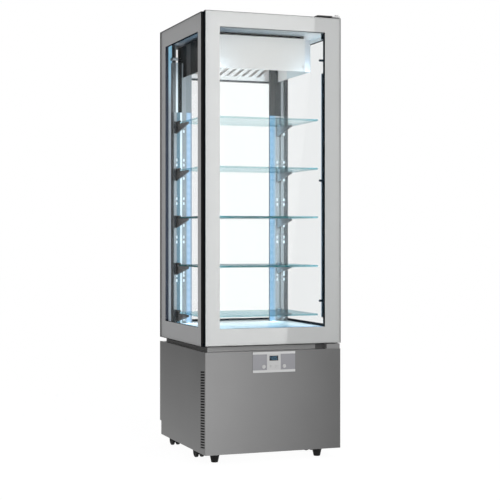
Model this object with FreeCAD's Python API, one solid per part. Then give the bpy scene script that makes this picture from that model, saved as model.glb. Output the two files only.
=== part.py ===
import FreeCAD, Part
import os

# Upright refrigerated display showcase, glazed on four sides.
# Frame: millimetres, origin on the floor under the middle, +X to the right, front faces -Y, +Z up.

V = FreeCAD.Vector

# Overall size
WIDTH = 600.0
DEPTH = 650.0
GLAZING_TOP = 1855.0

# Base cabinet
BASE_BOTTOM = 43.0
BASE_TOP = 461.0
SHEET = 2.0
FRONT_SETBACK = 3.5
REAR_SETBACK = 3.0
REAR_PANEL_BOTTOM = 104.0
REAR_NOTCH = 20.0
PAN_BOTTOM = 70.0
PAN_SHEET = 3.0
DECK_SHEET = 3.0

# Neck and floor of the display chamber
NECK_SIDE_INSET = 20.0
NECK_REAR_INSET = 35.0
GLAZING_BOTTOM = 480.0
FLOOR_TOP = 547.0
FLOOR_SHEET = 2.0

# Insulating glass: two panes on a bar frame
PANE = 5.0
CAVITY = 14.0
SIDE_FRONT_STILE = 57.5
SIDE_REAR_STILE = 69.0
SIDE_TOP_RAIL = 74.0
SIDE_BOTTOM_RAIL = 76.0
REAR_STILE = 46.0

# Door
DOOR_HEAD_GAP = 3.0
DOOR_BOTTOM = 486.0
DOOR_LEFT_STILE = 63.5
DOOR_RIGHT_STILE = 70.0
DOOR_TOP_RAIL = 63.0
DOOR_BOTTOM_RAIL = 69.0
GASKET_DEPTH = 12.0
GASKET_WIDTH = 18.0
GASKET_INSET = 16.0
FRAME_DEPTH = 22.0
FRAME_STILE = 42.0
FRAME_RAIL = 46.0
FRAME_SIDE_INSET = 3.0
FRAME_END_INSET = 10.0

# Door hinges
HINGE_FROM_EDGE = 14.0
HINGE_PIN_R = 4.0
HINGE_PIN_LENGTH = 14.0
HINGE_PLATE = 5.0
HINGE_BUSH_R = 6.5
HINGE_BUSH_DEPTH = 20.0
HINGE_HEAD_R = 8.0
HINGE_HEAD = 6.0
HINGE_PLATE_WIDTH = 103.0
HINGE_PLATE_REACH = 60.0
HINGE_BLOCK_WIDTH = 60.0
HINGE_BLOCK_HEIGHT = 21.0
HINGE_EDGE = 2.0
RUNNING_GAP = 0.05
SEAT_GAP = 0.3

# Roof and ceiling
ROOF = 60.0
CEILING_SHEET = 1.5

# Evaporator box under the ceiling
EVAP_SIDE_INSET = 72.0
EVAP_FRONT = 145.0
EVAP_REAR_GAP = 39.0
EVAP_HEIGHT = 140.0
EVAP_RECESS = 66.0
EVAP_SHEET = 1.5
EVAP_BEVEL = 30.0
EVAP_BEVEL_DEPTH = 12.0
COLLAR_INSET = 25.0
COLLAR_HEIGHT = 13.5
GRILLE_WIDTH = 240.0
GRILLE_DEPTH = 225.0
GRILLE_FORWARD = 16.0
GRILLE_SLOTS = 11
GRILLE_SLOT = 11.0
GRILLE_SLANT = 40.0
DUCT_DEPTH = 22.0
DUCT_SLOTS = 10
DUCT_SLOT = 15.0
DUCT_SLANT = 40.0
DUCT_SLOT_LOW = 26.0
DUCT_SLOT_HIGH = 58.0
UPRIGHT_NOTCH_GAP = 0.5
EVAP_FAN_R = 88.0
EVAP_COIL_DEPTH = 90.0
EVAP_COIL_HEIGHT = 78.0

# Rear corner posts, slotted uprights and lamps
POST = 30.0
POST_WALL = 2.0
UPRIGHT_FROM_REAR = 118.0
UPRIGHT_WIDTH = 62.0
UPRIGHT_DEPTH = 25.0
SLOT_COLUMNS = (19.0, 52.0)
SLOT_WIDTH = 8.0
SLOT_HEIGHT = 12.0
SLOT_PAIR = 22.0
SPARE_FIRST_SHARE = 0.7405
SPARE_PITCH_SHARE = 0.8185
SPARE_COUNT = 4
LAMP_WIDTH = 27.0
LAMP_DEPTH = 12.0
LAMP_COVER = 3.0
REAR_LAMP_DROP = 155.0
FRONT_LAMP_SIDE = 41.0
FRONT_LAMP_WIDTH = 16.0
FRONT_LAMP_GAP = 4.0
FRONT_LAMP_RISE = 43.0
FRONT_LAMP_DROP = 15.0
LAMP_STEM_R = 2.2
LAMP_BLOCK = 16.0
LAMP_BLOCK_HEIGHT = 24.0
LAMP_CLIP_SHARE = 0.409
LAMP_CLIP_LENGTH = 12.0
LAMP_CLIP_R = 5.0

# Glass shelves and their brackets
SHELF_GLASS = 8.0
SHELF_SIDE_INSET = 41.0
SHELF_FRONT = 146.0
SHELF_REAR_GAP = 42.0
FIRST_SHELF_RISE = 54.0
TOP_SHELF_ROOM = 201.8
SHELF_COUNT = 5
BRACKET_PLATE = 6.0
BRACKET_REACH = 170.0
BRACKET_DROP = 40.0
HOOK_DROP = 7.0
HOOK_REACH = 8.0
BRACKET_NOSE = 8.0
BRACKET_CLAW = 12.0
BRACKET_LIP = 6.0
BRACKET_FLANGE = 18.0
BRACKET_FLANGE_SHEET = 3.0
HOOK_GAP = 0.4

# Control panel in the base front
PANEL_OFFSET = -0.5
PANEL_WIDTH = 188.0
PANEL_BOTTOM = 372.0
PANEL_TOP = 457.0
PANEL_SHEET = 1.5
TRIM_HEIGHT = 10.0
TRIM_PROUD = 1.0
MODULE_OFFSET = -1.75
MODULE_WIDTH = 60.5
MODULE_PROUD = 0.5
MODULE_DEPTH = 24.0
DISPLAY_WIDTH = 39.0
DISPLAY_BOTTOM = 420.0
DISPLAY_HEIGHT = 20.5
DISPLAY_SINK = 0.6
DISPLAY_GLASS = 3.0
BUTTON_ROW = 396.5
BUTTON_R = 8.0
POWER_BUTTON = -44.25
LIGHT_BUTTON = 46.25
SET_KEY = -12.25
SET_KEY_R = 4.5
DOWN_KEY = 13.25
DOWN_KEY_WIDTH = 14.0
DOWN_KEY_HEIGHT = 8.0
BUTTON_TRAVEL = 1.2
BUTTON_LENGTH = 14.0

# Vents in the base
SIDE_SLOTS = 29
SIDE_SLOT_PITCH = 11.0
SIDE_SLOT_FIRST = 71.0
SIDE_SLOT_FRONT = 12.0
SIDE_SLOT_LENGTH = 52.0
SIDE_SLOT_HEIGHT = 6.0
SIDE_SLOT_DROP = 5.0
FILTER = 4.0
FILTER_MARGIN = 5.0
REAR_SLOTS = 16
REAR_SLOT_PITCH = 18.0
REAR_SLOT_FIRST = 140.0
REAR_SLOT_HEIGHT = 7.0
REAR_SLOT_INNER = 12.0
REAR_SLOT_WIDTH = 180.0

# Levelling feet
FOOT_SIDE = 70.0
FOOT_FRONT = 91.0
FOOT_TOP_R = 24.0
FOOT_BOTTOM_R = 14.0
FOOT_HEIGHT = 45.0
FOOT_STUD_R = 6.0
FOOT_BOSS_R = 13.0
FOOT_BOSS_DROP = 18.0

# Castors
CASTOR_SIDE = 48.0
CASTOR_FRONT = 217.0
CASTOR_REAR = 90.0
CASTOR_TRAIL = 15.0
WHEEL_R = 25.0
WHEEL_WIDTH = 13.0
WHEEL_GAP = 12.0
AXLE_R = 4.0
KINGPIN_R = 5.0
CASTOR_PLATE = 60.0
CASTOR_PLATE_SHEET = 3.0
CASTOR_HUB_R = 12.0
CASTOR_HUB_HEIGHT = 11.0
CASTOR_WEB = 10.0
CASTOR_WEB_END = 10.0
KINGPIN_LENGTH = 10.5

# Machine compartment
COMPRESSOR_X = 110.0
COMPRESSOR_REAR = 175.0
COMPRESSOR_R = 78.0
COMPRESSOR_HEIGHT = 170.0
COMPRESSOR_TOP_R = 40.0
COMPRESSOR_SHOULDER = 34.0
DISCHARGE_OFFSET = 30.0
DISCHARGE_Z = 130.0
SUCTION_OFFSET = -20.0
STUB_REACH = 98.0
COMPRESSOR_PLATE = 4.0
COMPRESSOR_PLATE_WIDTH = 190.0
COMPRESSOR_PLATE_DEPTH = 140.0
GROMMET_R = 12.0
GROMMET_HEIGHT = 14.0
CONDENSER_SIDE = 150.0
CONDENSER_FRONT = 62.0
CONDENSER_WIDTH = 250.0
CONDENSER_DEPTH = 44.0
CONDENSER_HEIGHT = 250.0
FIN_COUNT = 24
FIN_SHEET = 1.2
COIL_TUBE_R = 4.5
COIL_TUBE_ROWS = 5
TUBE_END = 12.0
SHROUD_DEPTH = 26.0
SHROUD_SHEET = 3.0
FAN_R = 100.0
FAN_BLADE = 4.0
FAN_BLADES = 5
BLADE_PITCH = 26.0
FAN_HUB_R = 24.0
FAN_HUB_LENGTH = 20.0
FAN_SHAFT_R = 4.0
FAN_TIP_GAP = 6.0
MOTOR_R = 30.0
MOTOR_LENGTH = 48.0
MOTOR_GAP = 3.0
ARM_WIDTH = 14.0
ARM_SHEET = 3.0
TRAY_WIDTH = 180.0
TRAY_DEPTH = 130.0
TRAY_HEIGHT = 34.0
TRAY_WALL = 2.5
TRAY_REAR = 115.0
TRAY_SIDE = 150.0
DRIER_R = 12.0
DRIER_LENGTH = 110.0
LINE_R = 4.0
CAPILLARY_R = 1.5
CAPILLARY_RUN = 360.0
CAPILLARY_BEND = 90.0
DISCHARGE_CORNER_X = 60.0
DISCHARGE_CORNER_Y = -100.0
DRIER_X = 225.0
DRIER_Y = -200.0
RISER_R = 6.0
RISER_HOLE_GAP = 1.0
RISER_ENTRY = 88.0
RISER_RUN = 150.0
RISER_STEP = 36.0
RISER_END = 12.0
SWITCH_BOX_FRONT = 30.0
SWITCH_BOX_DEPTH = 70.0
INLET_SIDE = 100.0
INLET_Z = 150.0
INLET_WIDTH = 48.0
INLET_HEIGHT = 32.0
INLET_DEPTH = 30.0
INLET_FLANGE = 2.0
INLET_WALL = 6.0
INLET_RECESS = 18.0
INLET_PIN = 2.5
INLET_PIN_LENGTH = 14.0
INLET_PIN_PITCH = 9.0
SCREW_HEAD_R = 4.5
SCREW_HEAD = 2.0
SCREW_R = 2.0
SCREW_LENGTH = 8.0
SCREW_FIT = 0.1

# Planes and lines worked out from the sizes above
HALF = WIDTH / 2
FRONT = -DEPTH / 2
REAR = DEPTH / 2
GLAZING = 2 * PANE + CAVITY
INNER_X = HALF - GLAZING
INNER_REAR = REAR - GLAZING
DOOR_BACK = FRONT + GLAZING
FRAME_FRONT = DOOR_BACK + GASKET_DEPTH
CABINET_FRONT = FRAME_FRONT + FRAME_DEPTH
PAN_TOP = PAN_BOTTOM + PAN_SHEET
DECK_BOTTOM = BASE_TOP - DECK_SHEET
FRONT_PANEL_FACE = FRONT + FRONT_SETBACK
FRONT_PANEL_BACK = FRONT_PANEL_FACE + SHEET
REAR_PANEL_FACE = REAR - REAR_SETBACK
REAR_PANEL_BACK = REAR_PANEL_FACE - SHEET
ROOF_BOTTOM = GLAZING_TOP - ROOF
CEILING_BOTTOM = ROOF_BOTTOM - CEILING_SHEET
DOOR_TOP = GLAZING_TOP - DOOR_HEAD_GAP
EVAP_TOP = CEILING_BOTTOM - COLLAR_HEIGHT
EVAP_BOTTOM = EVAP_TOP - EVAP_HEIGHT
EVAP_DECK = EVAP_BOTTOM + EVAP_RECESS
EVAP_Y = (FRONT + EVAP_FRONT, REAR - EVAP_REAR_GAP)
FAN_Y = sum(EVAP_Y) / 2 - GRILLE_FORWARD
RISER_TOP = EVAP_BOTTOM + RISER_ENTRY
UPRIGHT_FACE = REAR - UPRIGHT_FROM_REAR
LAMP_CLIP_MIDDLE = (FLOOR_TOP + CEILING_BOTTOM) / 2
LAMP_CLIP_PITCH = (CEILING_BOTTOM - FLOOR_TOP) * LAMP_CLIP_SHARE
HINGE_X = HALF - HINGE_FROM_EDGE
HINGE_Y = FRONT + GLAZING / 2
PLATE_FACE = FRONT_PANEL_FACE - PANEL_SHEET
COMPRESSOR_Y = REAR - COMPRESSOR_REAR
INLET_X = HALF - INLET_SIDE
SHELF_REAR = UPRIGHT_FACE - SHELF_REAR_GAP
SHELF_LOWEST = FLOOR_TOP + FIRST_SHELF_RISE
SHELF_PITCH = (EVAP_BOTTOM - TOP_SHELF_ROOM - SHELF_LOWEST) / (SHELF_COUNT - 1)
SHELF_BOTTOMS = [SHELF_LOWEST - SHELF_GLASS + i * SHELF_PITCH for i in range(SHELF_COUNT)]
SHAFT_LENGTH = MOTOR_GAP + MOTOR_LENGTH / 2
SHAFT_BORE_R = FAN_SHAFT_R + RUNNING_GAP
SIDES = (-1, 1)


def from_left(distance):
    return distance - HALF


def from_front(distance):
    return distance + FRONT


def span(a, b):
    return (min(a, b), max(a, b))


def around(middle, size):
    return (middle - size / 2, middle + size / 2)


def shrunk(pair, wall):
    return (pair[0] + wall, pair[1] - wall)


def box(x, y, z):
    return Part.makeBox(x[1] - x[0], y[1] - y[0], z[1] - z[0], V(x[0], y[0], z[0]))


def side_box(side, inner, outer, y, z):
    return box(span(side * inner, side * outer), y, z)


def rod(base, direction, length, radius):
    return Part.makeCylinder(radius, length, V(*base), V(*direction))


def prism(points, thickness):
    wire = Part.makePolygon([V(*p) for p in points] + [V(*points[0])])
    return Part.Face(wire).extrude(V(*thickness))


def turned(points, x, y):
    wire = Part.makePolygon([V(x + r, y, z) for r, z in points] + [V(x + points[0][0], y, points[0][1])])
    return Part.Face(wire).revolve(V(x, y, 0), V(0, 0, 1), 360)


def joined(shapes):
    return shapes[0].multiFuse(shapes[1:]).removeSplitter()


def save(name, *solids):
    shape = solids[0] if len(solids) == 1 else Part.makeCompound(list(solids))
    shape.exportStep("parts/" + name + ".step")


def bar_frame(width_span, height_span, left, right, bottom, top, place):
    lower, upper = height_span
    inner = (lower + bottom, upper - top)
    return [
        place((width_span[0], width_span[0] + left), height_span),
        place((width_span[1] - right, width_span[1]), height_span),
        place((width_span[0] + left, width_span[1] - right), (lower, inner[0])),
        place((width_span[0] + left, width_span[1] - right), (inner[1], upper)),
    ]


def screw(position, direction):
    # A pan-head screw: the head stands on the surface and the shank runs against the direction.
    inward = [-d for d in direction]
    return joined([
        rod(position, direction, SCREW_HEAD, SCREW_HEAD_R),
        rod(position, inward, SCREW_LENGTH, SCREW_R),
    ])


def screw_hole(position, direction):
    inward = [-d for d in direction]
    return rod(position, inward, SCREW_LENGTH + SCREW_FIT, SCREW_R + SCREW_FIT)


def tube(points, radius):
    # A solid line through the points, with a ball at each bend.
    pieces = []
    for a, b in zip(points, points[1:]):
        run = V(*b).sub(V(*a))
        pieces.append(Part.makeCylinder(radius, run.Length, V(*a), run))
    pieces += [Part.makeSphere(radius, V(*p)) for p in points[1:-1]]
    return joined(pieces)


def base_cabinet():
    # Sheet-metal base: pan, four panels and the deck that carries the display chamber.
    inner = HALF - SHEET
    pan = box((-inner, inner), (FRONT_PANEL_BACK, REAR - REAR_NOTCH), (PAN_BOTTOM, PAN_TOP))
    bosses = []
    bores = []
    for x, y in foot_places():
        bosses.append(rod((x, y, PAN_BOTTOM - FOOT_BOSS_DROP), (0, 0, 1), FOOT_BOSS_DROP, FOOT_BOSS_R))
        bores.append(rod((x, y, 0), (0, 0, 1), PAN_TOP, FOOT_STUD_R + RUNNING_GAP))
    save("base_pan", joined([pan] + bosses).cut(bores))

    sides = []
    for side in SIDES:
        panel = side_box(side, inner, HALF, (FRONT_PANEL_FACE, REAR), (BASE_BOTTOM, BASE_TOP))
        notch = side_box(side, inner, HALF, (REAR - REAR_NOTCH, REAR), (BASE_BOTTOM, REAR_PANEL_BOTTOM))
        sides.append(panel.cut([notch] + side_slots(side)))
    save("base_sides", *sides)

    # Dust filters stand on the pan behind the side slots.
    near = from_front(SIDE_SLOT_FRONT) - FILTER_MARGIN
    far = near + SIDE_SLOT_LENGTH + 2 * FILTER_MARGIN
    top = SIDE_SLOT_FIRST + SIDE_SLOTS * SIDE_SLOT_PITCH + FILTER_MARGIN
    save("vent_filters", *[side_box(side, inner - FILTER, inner, (near, far), (PAN_TOP, top)) for side in SIDES])

    front = box((-inner, inner), (FRONT_PANEL_FACE, FRONT_PANEL_BACK), (BASE_BOTTOM, BASE_TOP))
    save("base_front_panel", front.cut([module_opening()] + button_holes(FRONT_PANEL_BACK)))

    rear = box((-inner, inner), (REAR_PANEL_BACK, REAR_PANEL_FACE), (REAR_PANEL_BOTTOM, BASE_TOP))
    slots = []
    for i in range(REAR_SLOTS):
        low = REAR_SLOT_FIRST + i * REAR_SLOT_PITCH
        for side in SIDES:
            slots.append(side_box(side, REAR_SLOT_INNER, REAR_SLOT_INNER + REAR_SLOT_WIDTH,
                                  (REAR_PANEL_BACK, REAR_PANEL_FACE), (low, low + REAR_SLOT_HEIGHT)))
    inlet = inlet_box(SEAT_GAP, (REAR_PANEL_BACK, REAR_PANEL_FACE))
    holes = [screw_hole(p, d) for p, d in rear_screws()]
    save("base_rear_panel", rear.cut(slots + [inlet] + holes))

    deck = box((-inner, inner), (FRONT_PANEL_BACK, REAR_PANEL_BACK), (DECK_BOTTOM, BASE_TOP))
    save("base_deck", deck.cut(riser_hole()))


def side_slots(side):
    slots = []
    near = from_front(SIDE_SLOT_FRONT)
    far = near + SIDE_SLOT_LENGTH
    for i in range(SIDE_SLOTS):
        z = SIDE_SLOT_FIRST + i * SIDE_SLOT_PITCH
        x = side * HALF
        outline = [(x, near, z), (x, far, z - SIDE_SLOT_DROP),
                   (x, far, z - SIDE_SLOT_DROP + SIDE_SLOT_HEIGHT), (x, near, z + SIDE_SLOT_HEIGHT)]
        slots.append(prism(outline, (-side * SHEET, 0, 0)))
    return slots


def rear_screws():
    inset = 2 * SCREW_HEAD_R + SHEET
    rows = (REAR_PANEL_BOTTOM + inset, BASE_TOP - inset)
    return [((side * (HALF - inset), REAR_PANEL_FACE, z), (0, 1, 0)) for side in SIDES for z in rows]


def hinge_screws():
    x = HALF - HINGE_EDGE - HINGE_PLATE_WIDTH + 2 * SCREW_HEAD_R
    y = CABINET_FRONT + HINGE_PLATE_REACH / 2
    step = (INNER_X - x) / 2
    return [((x + i * step, y, GLAZING_TOP + HINGE_PLATE), (0, 0, 1)) for i in range(2)]


def evaporator_screws():
    x = HALF - EVAP_SIDE_INSET - EVAP_BEVEL - 2 * SCREW_HEAD_R
    z = EVAP_BOTTOM + 4 * SCREW_HEAD_R
    return [((side * x, EVAP_Y[0], z), (0, -1, 0)) for side in SIDES]


def screws():
    places = rear_screws() + hinge_screws() + evaporator_screws()
    save("fixing_screws", *[screw(p, d) for p, d in places])


def riser_axis():
    return (-INNER_X + POST / 2, INNER_REAR - POST / 2)


def riser_hole():
    x, y = riser_axis()
    return rod((x, y, 0), (0, 0, 1), GLAZING_TOP, RISER_R + RISER_HOLE_GAP)


def chamber_floor_and_roof():
    # Recessed neck, insulated floor and roof, and the sheet that lines them.
    neck = box((-HALF + NECK_SIDE_INSET, HALF - NECK_SIDE_INSET),
               (FRAME_FRONT, REAR - NECK_REAR_INSET), (BASE_TOP, GLAZING_BOTTOM))
    save("neck_plinth", neck.cut(riser_hole()))
    plan = ((-INNER_X, INNER_X), (CABINET_FRONT, INNER_REAR))
    save("insulated_floor", box(*plan, (GLAZING_BOTTOM, FLOOR_TOP - FLOOR_SHEET)).cut(riser_hole()))
    save("display_floor", box(*plan, (FLOOR_TOP - FLOOR_SHEET, FLOOR_TOP)).cut(riser_hole()))
    holes = [screw_hole(p, d) for p, d in hinge_screws()]
    save("insulated_roof", box(*plan, (ROOF_BOTTOM, GLAZING_TOP)).cut(holes))
    save("ceiling_liner", box(*plan, (CEILING_BOTTOM, ROOF_BOTTOM)))


def glazing():
    # Three fixed insulating glass units: a pane each side of a frame of four bars.
    height = (GLAZING_BOTTOM, GLAZING_TOP)
    depth = (CABINET_FRONT, REAR)
    panes = []
    bars = []
    for side in SIDES:
        panes.append(side_box(side, HALF - PANE, HALF, depth, height))
        panes.append(side_box(side, INNER_X, INNER_X + PANE, depth, height))
        bars += bar_frame(depth, height, SIDE_FRONT_STILE, SIDE_REAR_STILE, SIDE_BOTTOM_RAIL, SIDE_TOP_RAIL,
                          lambda y, z: side_box(side, INNER_X + PANE, HALF - PANE, y, z))
    save("side_panes", *panes)
    save("side_frames", *bars)
    width = (-INNER_X, INNER_X)
    save("rear_panes", box(width, (REAR - PANE, REAR), height),
         box(width, (INNER_REAR, INNER_REAR + PANE), height))
    bars = bar_frame(width, height, REAR_STILE, REAR_STILE, SIDE_BOTTOM_RAIL, SIDE_TOP_RAIL,
                     lambda x, z: box(x, (INNER_REAR + PANE, REAR - PANE), z))
    save("rear_frame", *bars)


def door():
    # Door of the same make, with its gasket and the two bushes that it turns on.
    width = (-HALF, HALF)
    height = (DOOR_BOTTOM, DOOR_TOP)
    save("door_panes", box(width, (FRONT, FRONT + PANE), height),
         box(width, (DOOR_BACK - PANE, DOOR_BACK), height))
    bars = bar_frame(width, height, DOOR_LEFT_STILE, DOOR_RIGHT_STILE, DOOR_BOTTOM_RAIL, DOOR_TOP_RAIL,
                     lambda x, z: box(x, (FRONT + PANE, DOOR_BACK - PANE), z))
    pockets = []
    bushes = []
    for low in (DOOR_BOTTOM, DOOR_TOP - HINGE_BUSH_DEPTH):
        pocket = rod((HINGE_X, HINGE_Y, low), (0, 0, 1), HINGE_BUSH_DEPTH, HINGE_BUSH_R)
        pockets.append(pocket)
        bore = rod((HINGE_X, HINGE_Y, low), (0, 0, 1), HINGE_BUSH_DEPTH, HINGE_PIN_R + RUNNING_GAP)
        bushes.append(pocket.cut(bore))
    bars[1] = bars[1].cut(pockets)
    save("door_frame", *bars)
    save("door_bushes", *bushes)
    strips = bar_frame((-HALF + GASKET_INSET, HALF - GASKET_INSET),
                       (DOOR_BOTTOM + GASKET_INSET, DOOR_TOP - GASKET_INSET),
                       GASKET_WIDTH, GASKET_WIDTH, GASKET_WIDTH, GASKET_WIDTH,
                       lambda x, z: box(x, (DOOR_BACK, FRAME_FRONT - SEAT_GAP), z))
    save("door_gasket", *strips)


def door_surround():
    # Dark frame that the gasket closes on, and the hinge brackets above and below the door.
    bars = bar_frame((-HALF + FRAME_SIDE_INSET, HALF - FRAME_SIDE_INSET),
                     (DOOR_BOTTOM + FRAME_END_INSET, DOOR_TOP - FRAME_END_INSET),
                     FRAME_STILE, FRAME_STILE, FRAME_RAIL, FRAME_RAIL,
                     lambda x, z: box(x, (FRAME_FRONT, CABINET_FRONT), z))
    save("front_frame", *bars)

    right = HALF - HINGE_EDGE
    plate = box((right - HINGE_PLATE_WIDTH, right),
                (FRONT + HINGE_EDGE, CABINET_FRONT + HINGE_PLATE_REACH),
                (GLAZING_TOP, GLAZING_TOP + HINGE_PLATE))
    pin_tip = DOOR_TOP - HINGE_PIN_LENGTH
    pin = rod((HINGE_X, HINGE_Y, pin_tip), (0, 0, 1), GLAZING_TOP - pin_tip, HINGE_PIN_R)
    head = rod((HINGE_X, HINGE_Y, GLAZING_TOP + HINGE_PLATE), (0, 0, 1), HINGE_HEAD, HINGE_HEAD_R)
    holes = [screw_hole(p, d) for p, d in hinge_screws()]
    save("hinge_bracket_top", joined([plate, pin, head]).cut(holes))

    top = BASE_TOP + HINGE_BLOCK_HEIGHT
    block = box((right - HINGE_BLOCK_WIDTH, right), (FRONT_PANEL_BACK, FRAME_FRONT), (BASE_TOP, top))
    pin = rod((HINGE_X, HINGE_Y, top), (0, 0, 1), DOOR_BOTTOM + HINGE_PIN_LENGTH - top, HINGE_PIN_R)
    save("hinge_bracket_bottom", joined([block, pin]))


def evaporator_outline(inset, z):
    x = HALF - EVAP_SIDE_INSET - inset
    front, rear = shrunk(EVAP_Y, inset)
    bevel = front + EVAP_BEVEL_DEPTH
    return [(-x, rear, z), (-x, bevel, z), (-x + EVAP_BEVEL, front, z),
            (x - EVAP_BEVEL, front, z), (x, bevel, z), (x, rear, z)]


def evaporator():
    # Cooler under the ceiling: housing with a sunk intake deck and a rear duct, coil, fan and fan motor.
    shell = prism(evaporator_outline(0, EVAP_BOTTOM), (0, 0, EVAP_HEIGHT))
    inside = EVAP_HEIGHT - EVAP_RECESS - 2 * EVAP_SHEET
    hollow = prism(evaporator_outline(EVAP_SHEET, EVAP_DECK + EVAP_SHEET), (0, 0, inside))
    recess = prism(evaporator_outline(EVAP_SHEET, EVAP_BOTTOM), (0, 0, EVAP_RECESS))
    notches = []
    for side in SIDES:
        notches.append(side_box(side, INNER_X - UPRIGHT_WIDTH, INNER_X,
                                (UPRIGHT_FACE - UPRIGHT_NOTCH_GAP, UPRIGHT_FACE + UPRIGHT_DEPTH + UPRIGHT_NOTCH_GAP),
                                (EVAP_BOTTOM, EVAP_DECK)))
    walls = shell.cut([hollow, recess] + notches)
    collar_x = HALF - EVAP_SIDE_INSET - COLLAR_INSET
    collar_y = shrunk(EVAP_Y, COLLAR_INSET)
    collar = box((-collar_x, collar_x), collar_y, (EVAP_TOP, CEILING_BOTTOM))
    opening = box((-collar_x + EVAP_SHEET, collar_x - EVAP_SHEET), shrunk(collar_y, EVAP_SHEET),
                  (EVAP_TOP - EVAP_SHEET, CEILING_BOTTOM))
    x, y = riser_axis()
    entry = rod((x, y - RISER_STEP, RISER_TOP), (1, 0, 0), HALF, RISER_R + RISER_HOLE_GAP)
    entry = entry.common(box((-HALF, -collar_x), (FRONT, REAR), (EVAP_BOTTOM, EVAP_TOP)))
    holes = [screw_hole(p, d) for p, d in evaporator_screws()]
    housing = joined([walls, collar, rear_duct()]).cut([opening, entry] + grille_slots() + duct_slots() + holes)
    save("evaporator_housing", housing)

    coil_rear = collar_y[1] - EVAP_SHEET
    coil_low = CEILING_BOTTOM - EVAP_COIL_HEIGHT
    save("evaporator_coil", fin_block((-collar_x + COLLAR_INSET, collar_x - COLLAR_INSET),
                                      (coil_rear - EVAP_COIL_DEPTH, coil_rear), (coil_low, CEILING_BOTTOM)))

    middle = (0, FAN_Y)
    wheel_low = EVAP_DECK + EVAP_SHEET + FAN_TIP_GAP
    wheel = fan_wheel(EVAP_FAN_R)
    wheel.translate(V(middle[0], middle[1], wheel_low))
    save("evaporator_fan", wheel)
    motor_low = wheel_low + FAN_HUB_LENGTH + MOTOR_GAP
    motor = rod((middle[0], middle[1], motor_low), (0, 0, 1), MOTOR_LENGTH, MOTOR_R)
    bore = rod((middle[0], middle[1], motor_low), (0, 0, 1), SHAFT_LENGTH, SHAFT_BORE_R)
    hanger = rod((middle[0], middle[1], motor_low + MOTOR_LENGTH), (0, 0, 1),
                 CEILING_BOTTOM - motor_low - MOTOR_LENGTH, MOTOR_R / 2)
    save("evaporator_fan_motor", joined([motor, hanger]).cut(bore))


def grille_slots():
    slots = []
    pitch = GRILLE_WIDTH / GRILLE_SLOTS
    near = FAN_Y - GRILLE_DEPTH / 2
    far = near + GRILLE_DEPTH
    for i in range(GRILLE_SLOTS):
        x = -GRILLE_WIDTH / 2 + i * pitch - GRILLE_SLANT / 2
        outline = [(x, near, EVAP_DECK), (x + GRILLE_SLOT, near, EVAP_DECK),
                   (x + GRILLE_SLOT + GRILLE_SLANT, far, EVAP_DECK), (x + GRILLE_SLANT, far, EVAP_DECK)]
        slots.append(prism(outline, (0, 0, EVAP_SHEET)))
    return slots


def duct_front():
    return EVAP_Y[1] - EVAP_SHEET - DUCT_DEPTH


def rear_duct():
    # A plate and a floor that shut off a duct along the housing's rear wall.
    x = HALF - EVAP_SIDE_INSET - EVAP_SHEET
    rear = EVAP_Y[1] - EVAP_SHEET
    duct = box((-x, x), (duct_front(), rear), (EVAP_BOTTOM, EVAP_DECK))
    return duct.cut(box((-x, x), (duct_front() + EVAP_SHEET, rear), (EVAP_BOTTOM + EVAP_SHEET, EVAP_DECK)))


def duct_slots():
    # Slanted air slots in the duct's plate, between the two lamps.
    reach = INNER_X - UPRIGHT_WIDTH - LAMP_WIDTH
    pitch = 2 * reach / DUCT_SLOTS
    low, high = EVAP_BOTTOM + DUCT_SLOT_LOW, EVAP_BOTTOM + DUCT_SLOT_HIGH
    y = duct_front()
    slots = []
    for i in range(DUCT_SLOTS):
        x = -reach + (i + 0.5) * pitch - (DUCT_SLOT + DUCT_SLANT) / 2
        outline = [(x, y, low), (x + DUCT_SLOT, y, low),
                   (x + DUCT_SLOT + DUCT_SLANT, y, high), (x + DUCT_SLANT, y, high)]
        slots.append(prism(outline, (0, EVAP_SHEET, 0)))
    return slots


def fin_block(x, y, z):
    # A stack of fins on tubes that run along X and stand a little out of the end fins.
    step = (x[1] - x[0] - FIN_SHEET) / (FIN_COUNT - 1)
    fins = [box((x[0] + i * step, x[0] + i * step + FIN_SHEET), y, z) for i in range(FIN_COUNT)]
    tubes = []
    for i in range(COIL_TUBE_ROWS):
        start = (x[0] - TUBE_END, (y[0] + y[1]) / 2, tube_row(z, i))
        tubes.append(rod(start, (1, 0, 0), x[1] - x[0] + 2 * TUBE_END, COIL_TUBE_R))
    return joined(fins + tubes)


def tube_row(z, i):
    return z[0] + (i + 0.5) * (z[1] - z[0]) / COIL_TUBE_ROWS


def fan_wheel(radius):
    # Hub, blades and shaft about +Z, with the hub from 0 to its length and the shaft above it.
    pieces = [rod((0, 0, 0), (0, 0, 1), FAN_HUB_LENGTH, FAN_HUB_R)]
    chord = 2 * FAN_HUB_LENGTH
    for i in range(FAN_BLADES):
        blade = box((FAN_HUB_R / 2, radius * 2), (-chord / 2, chord / 2), (-FAN_BLADE / 2, FAN_BLADE / 2))
        blade.rotate(V(0, 0, 0), V(1, 0, 0), BLADE_PITCH)
        blade.translate(V(0, 0, FAN_HUB_LENGTH / 2))
        blade.rotate(V(0, 0, 0), V(0, 0, 1), i * 360 / FAN_BLADES)
        pieces.append(blade)
    wheel = joined(pieces).common(rod((0, 0, 0), (0, 0, 1), FAN_HUB_LENGTH, radius))
    shaft = rod((0, 0, FAN_HUB_LENGTH), (0, 0, 1), SHAFT_LENGTH, FAN_SHAFT_R)
    return joined([wheel, shaft])


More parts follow.
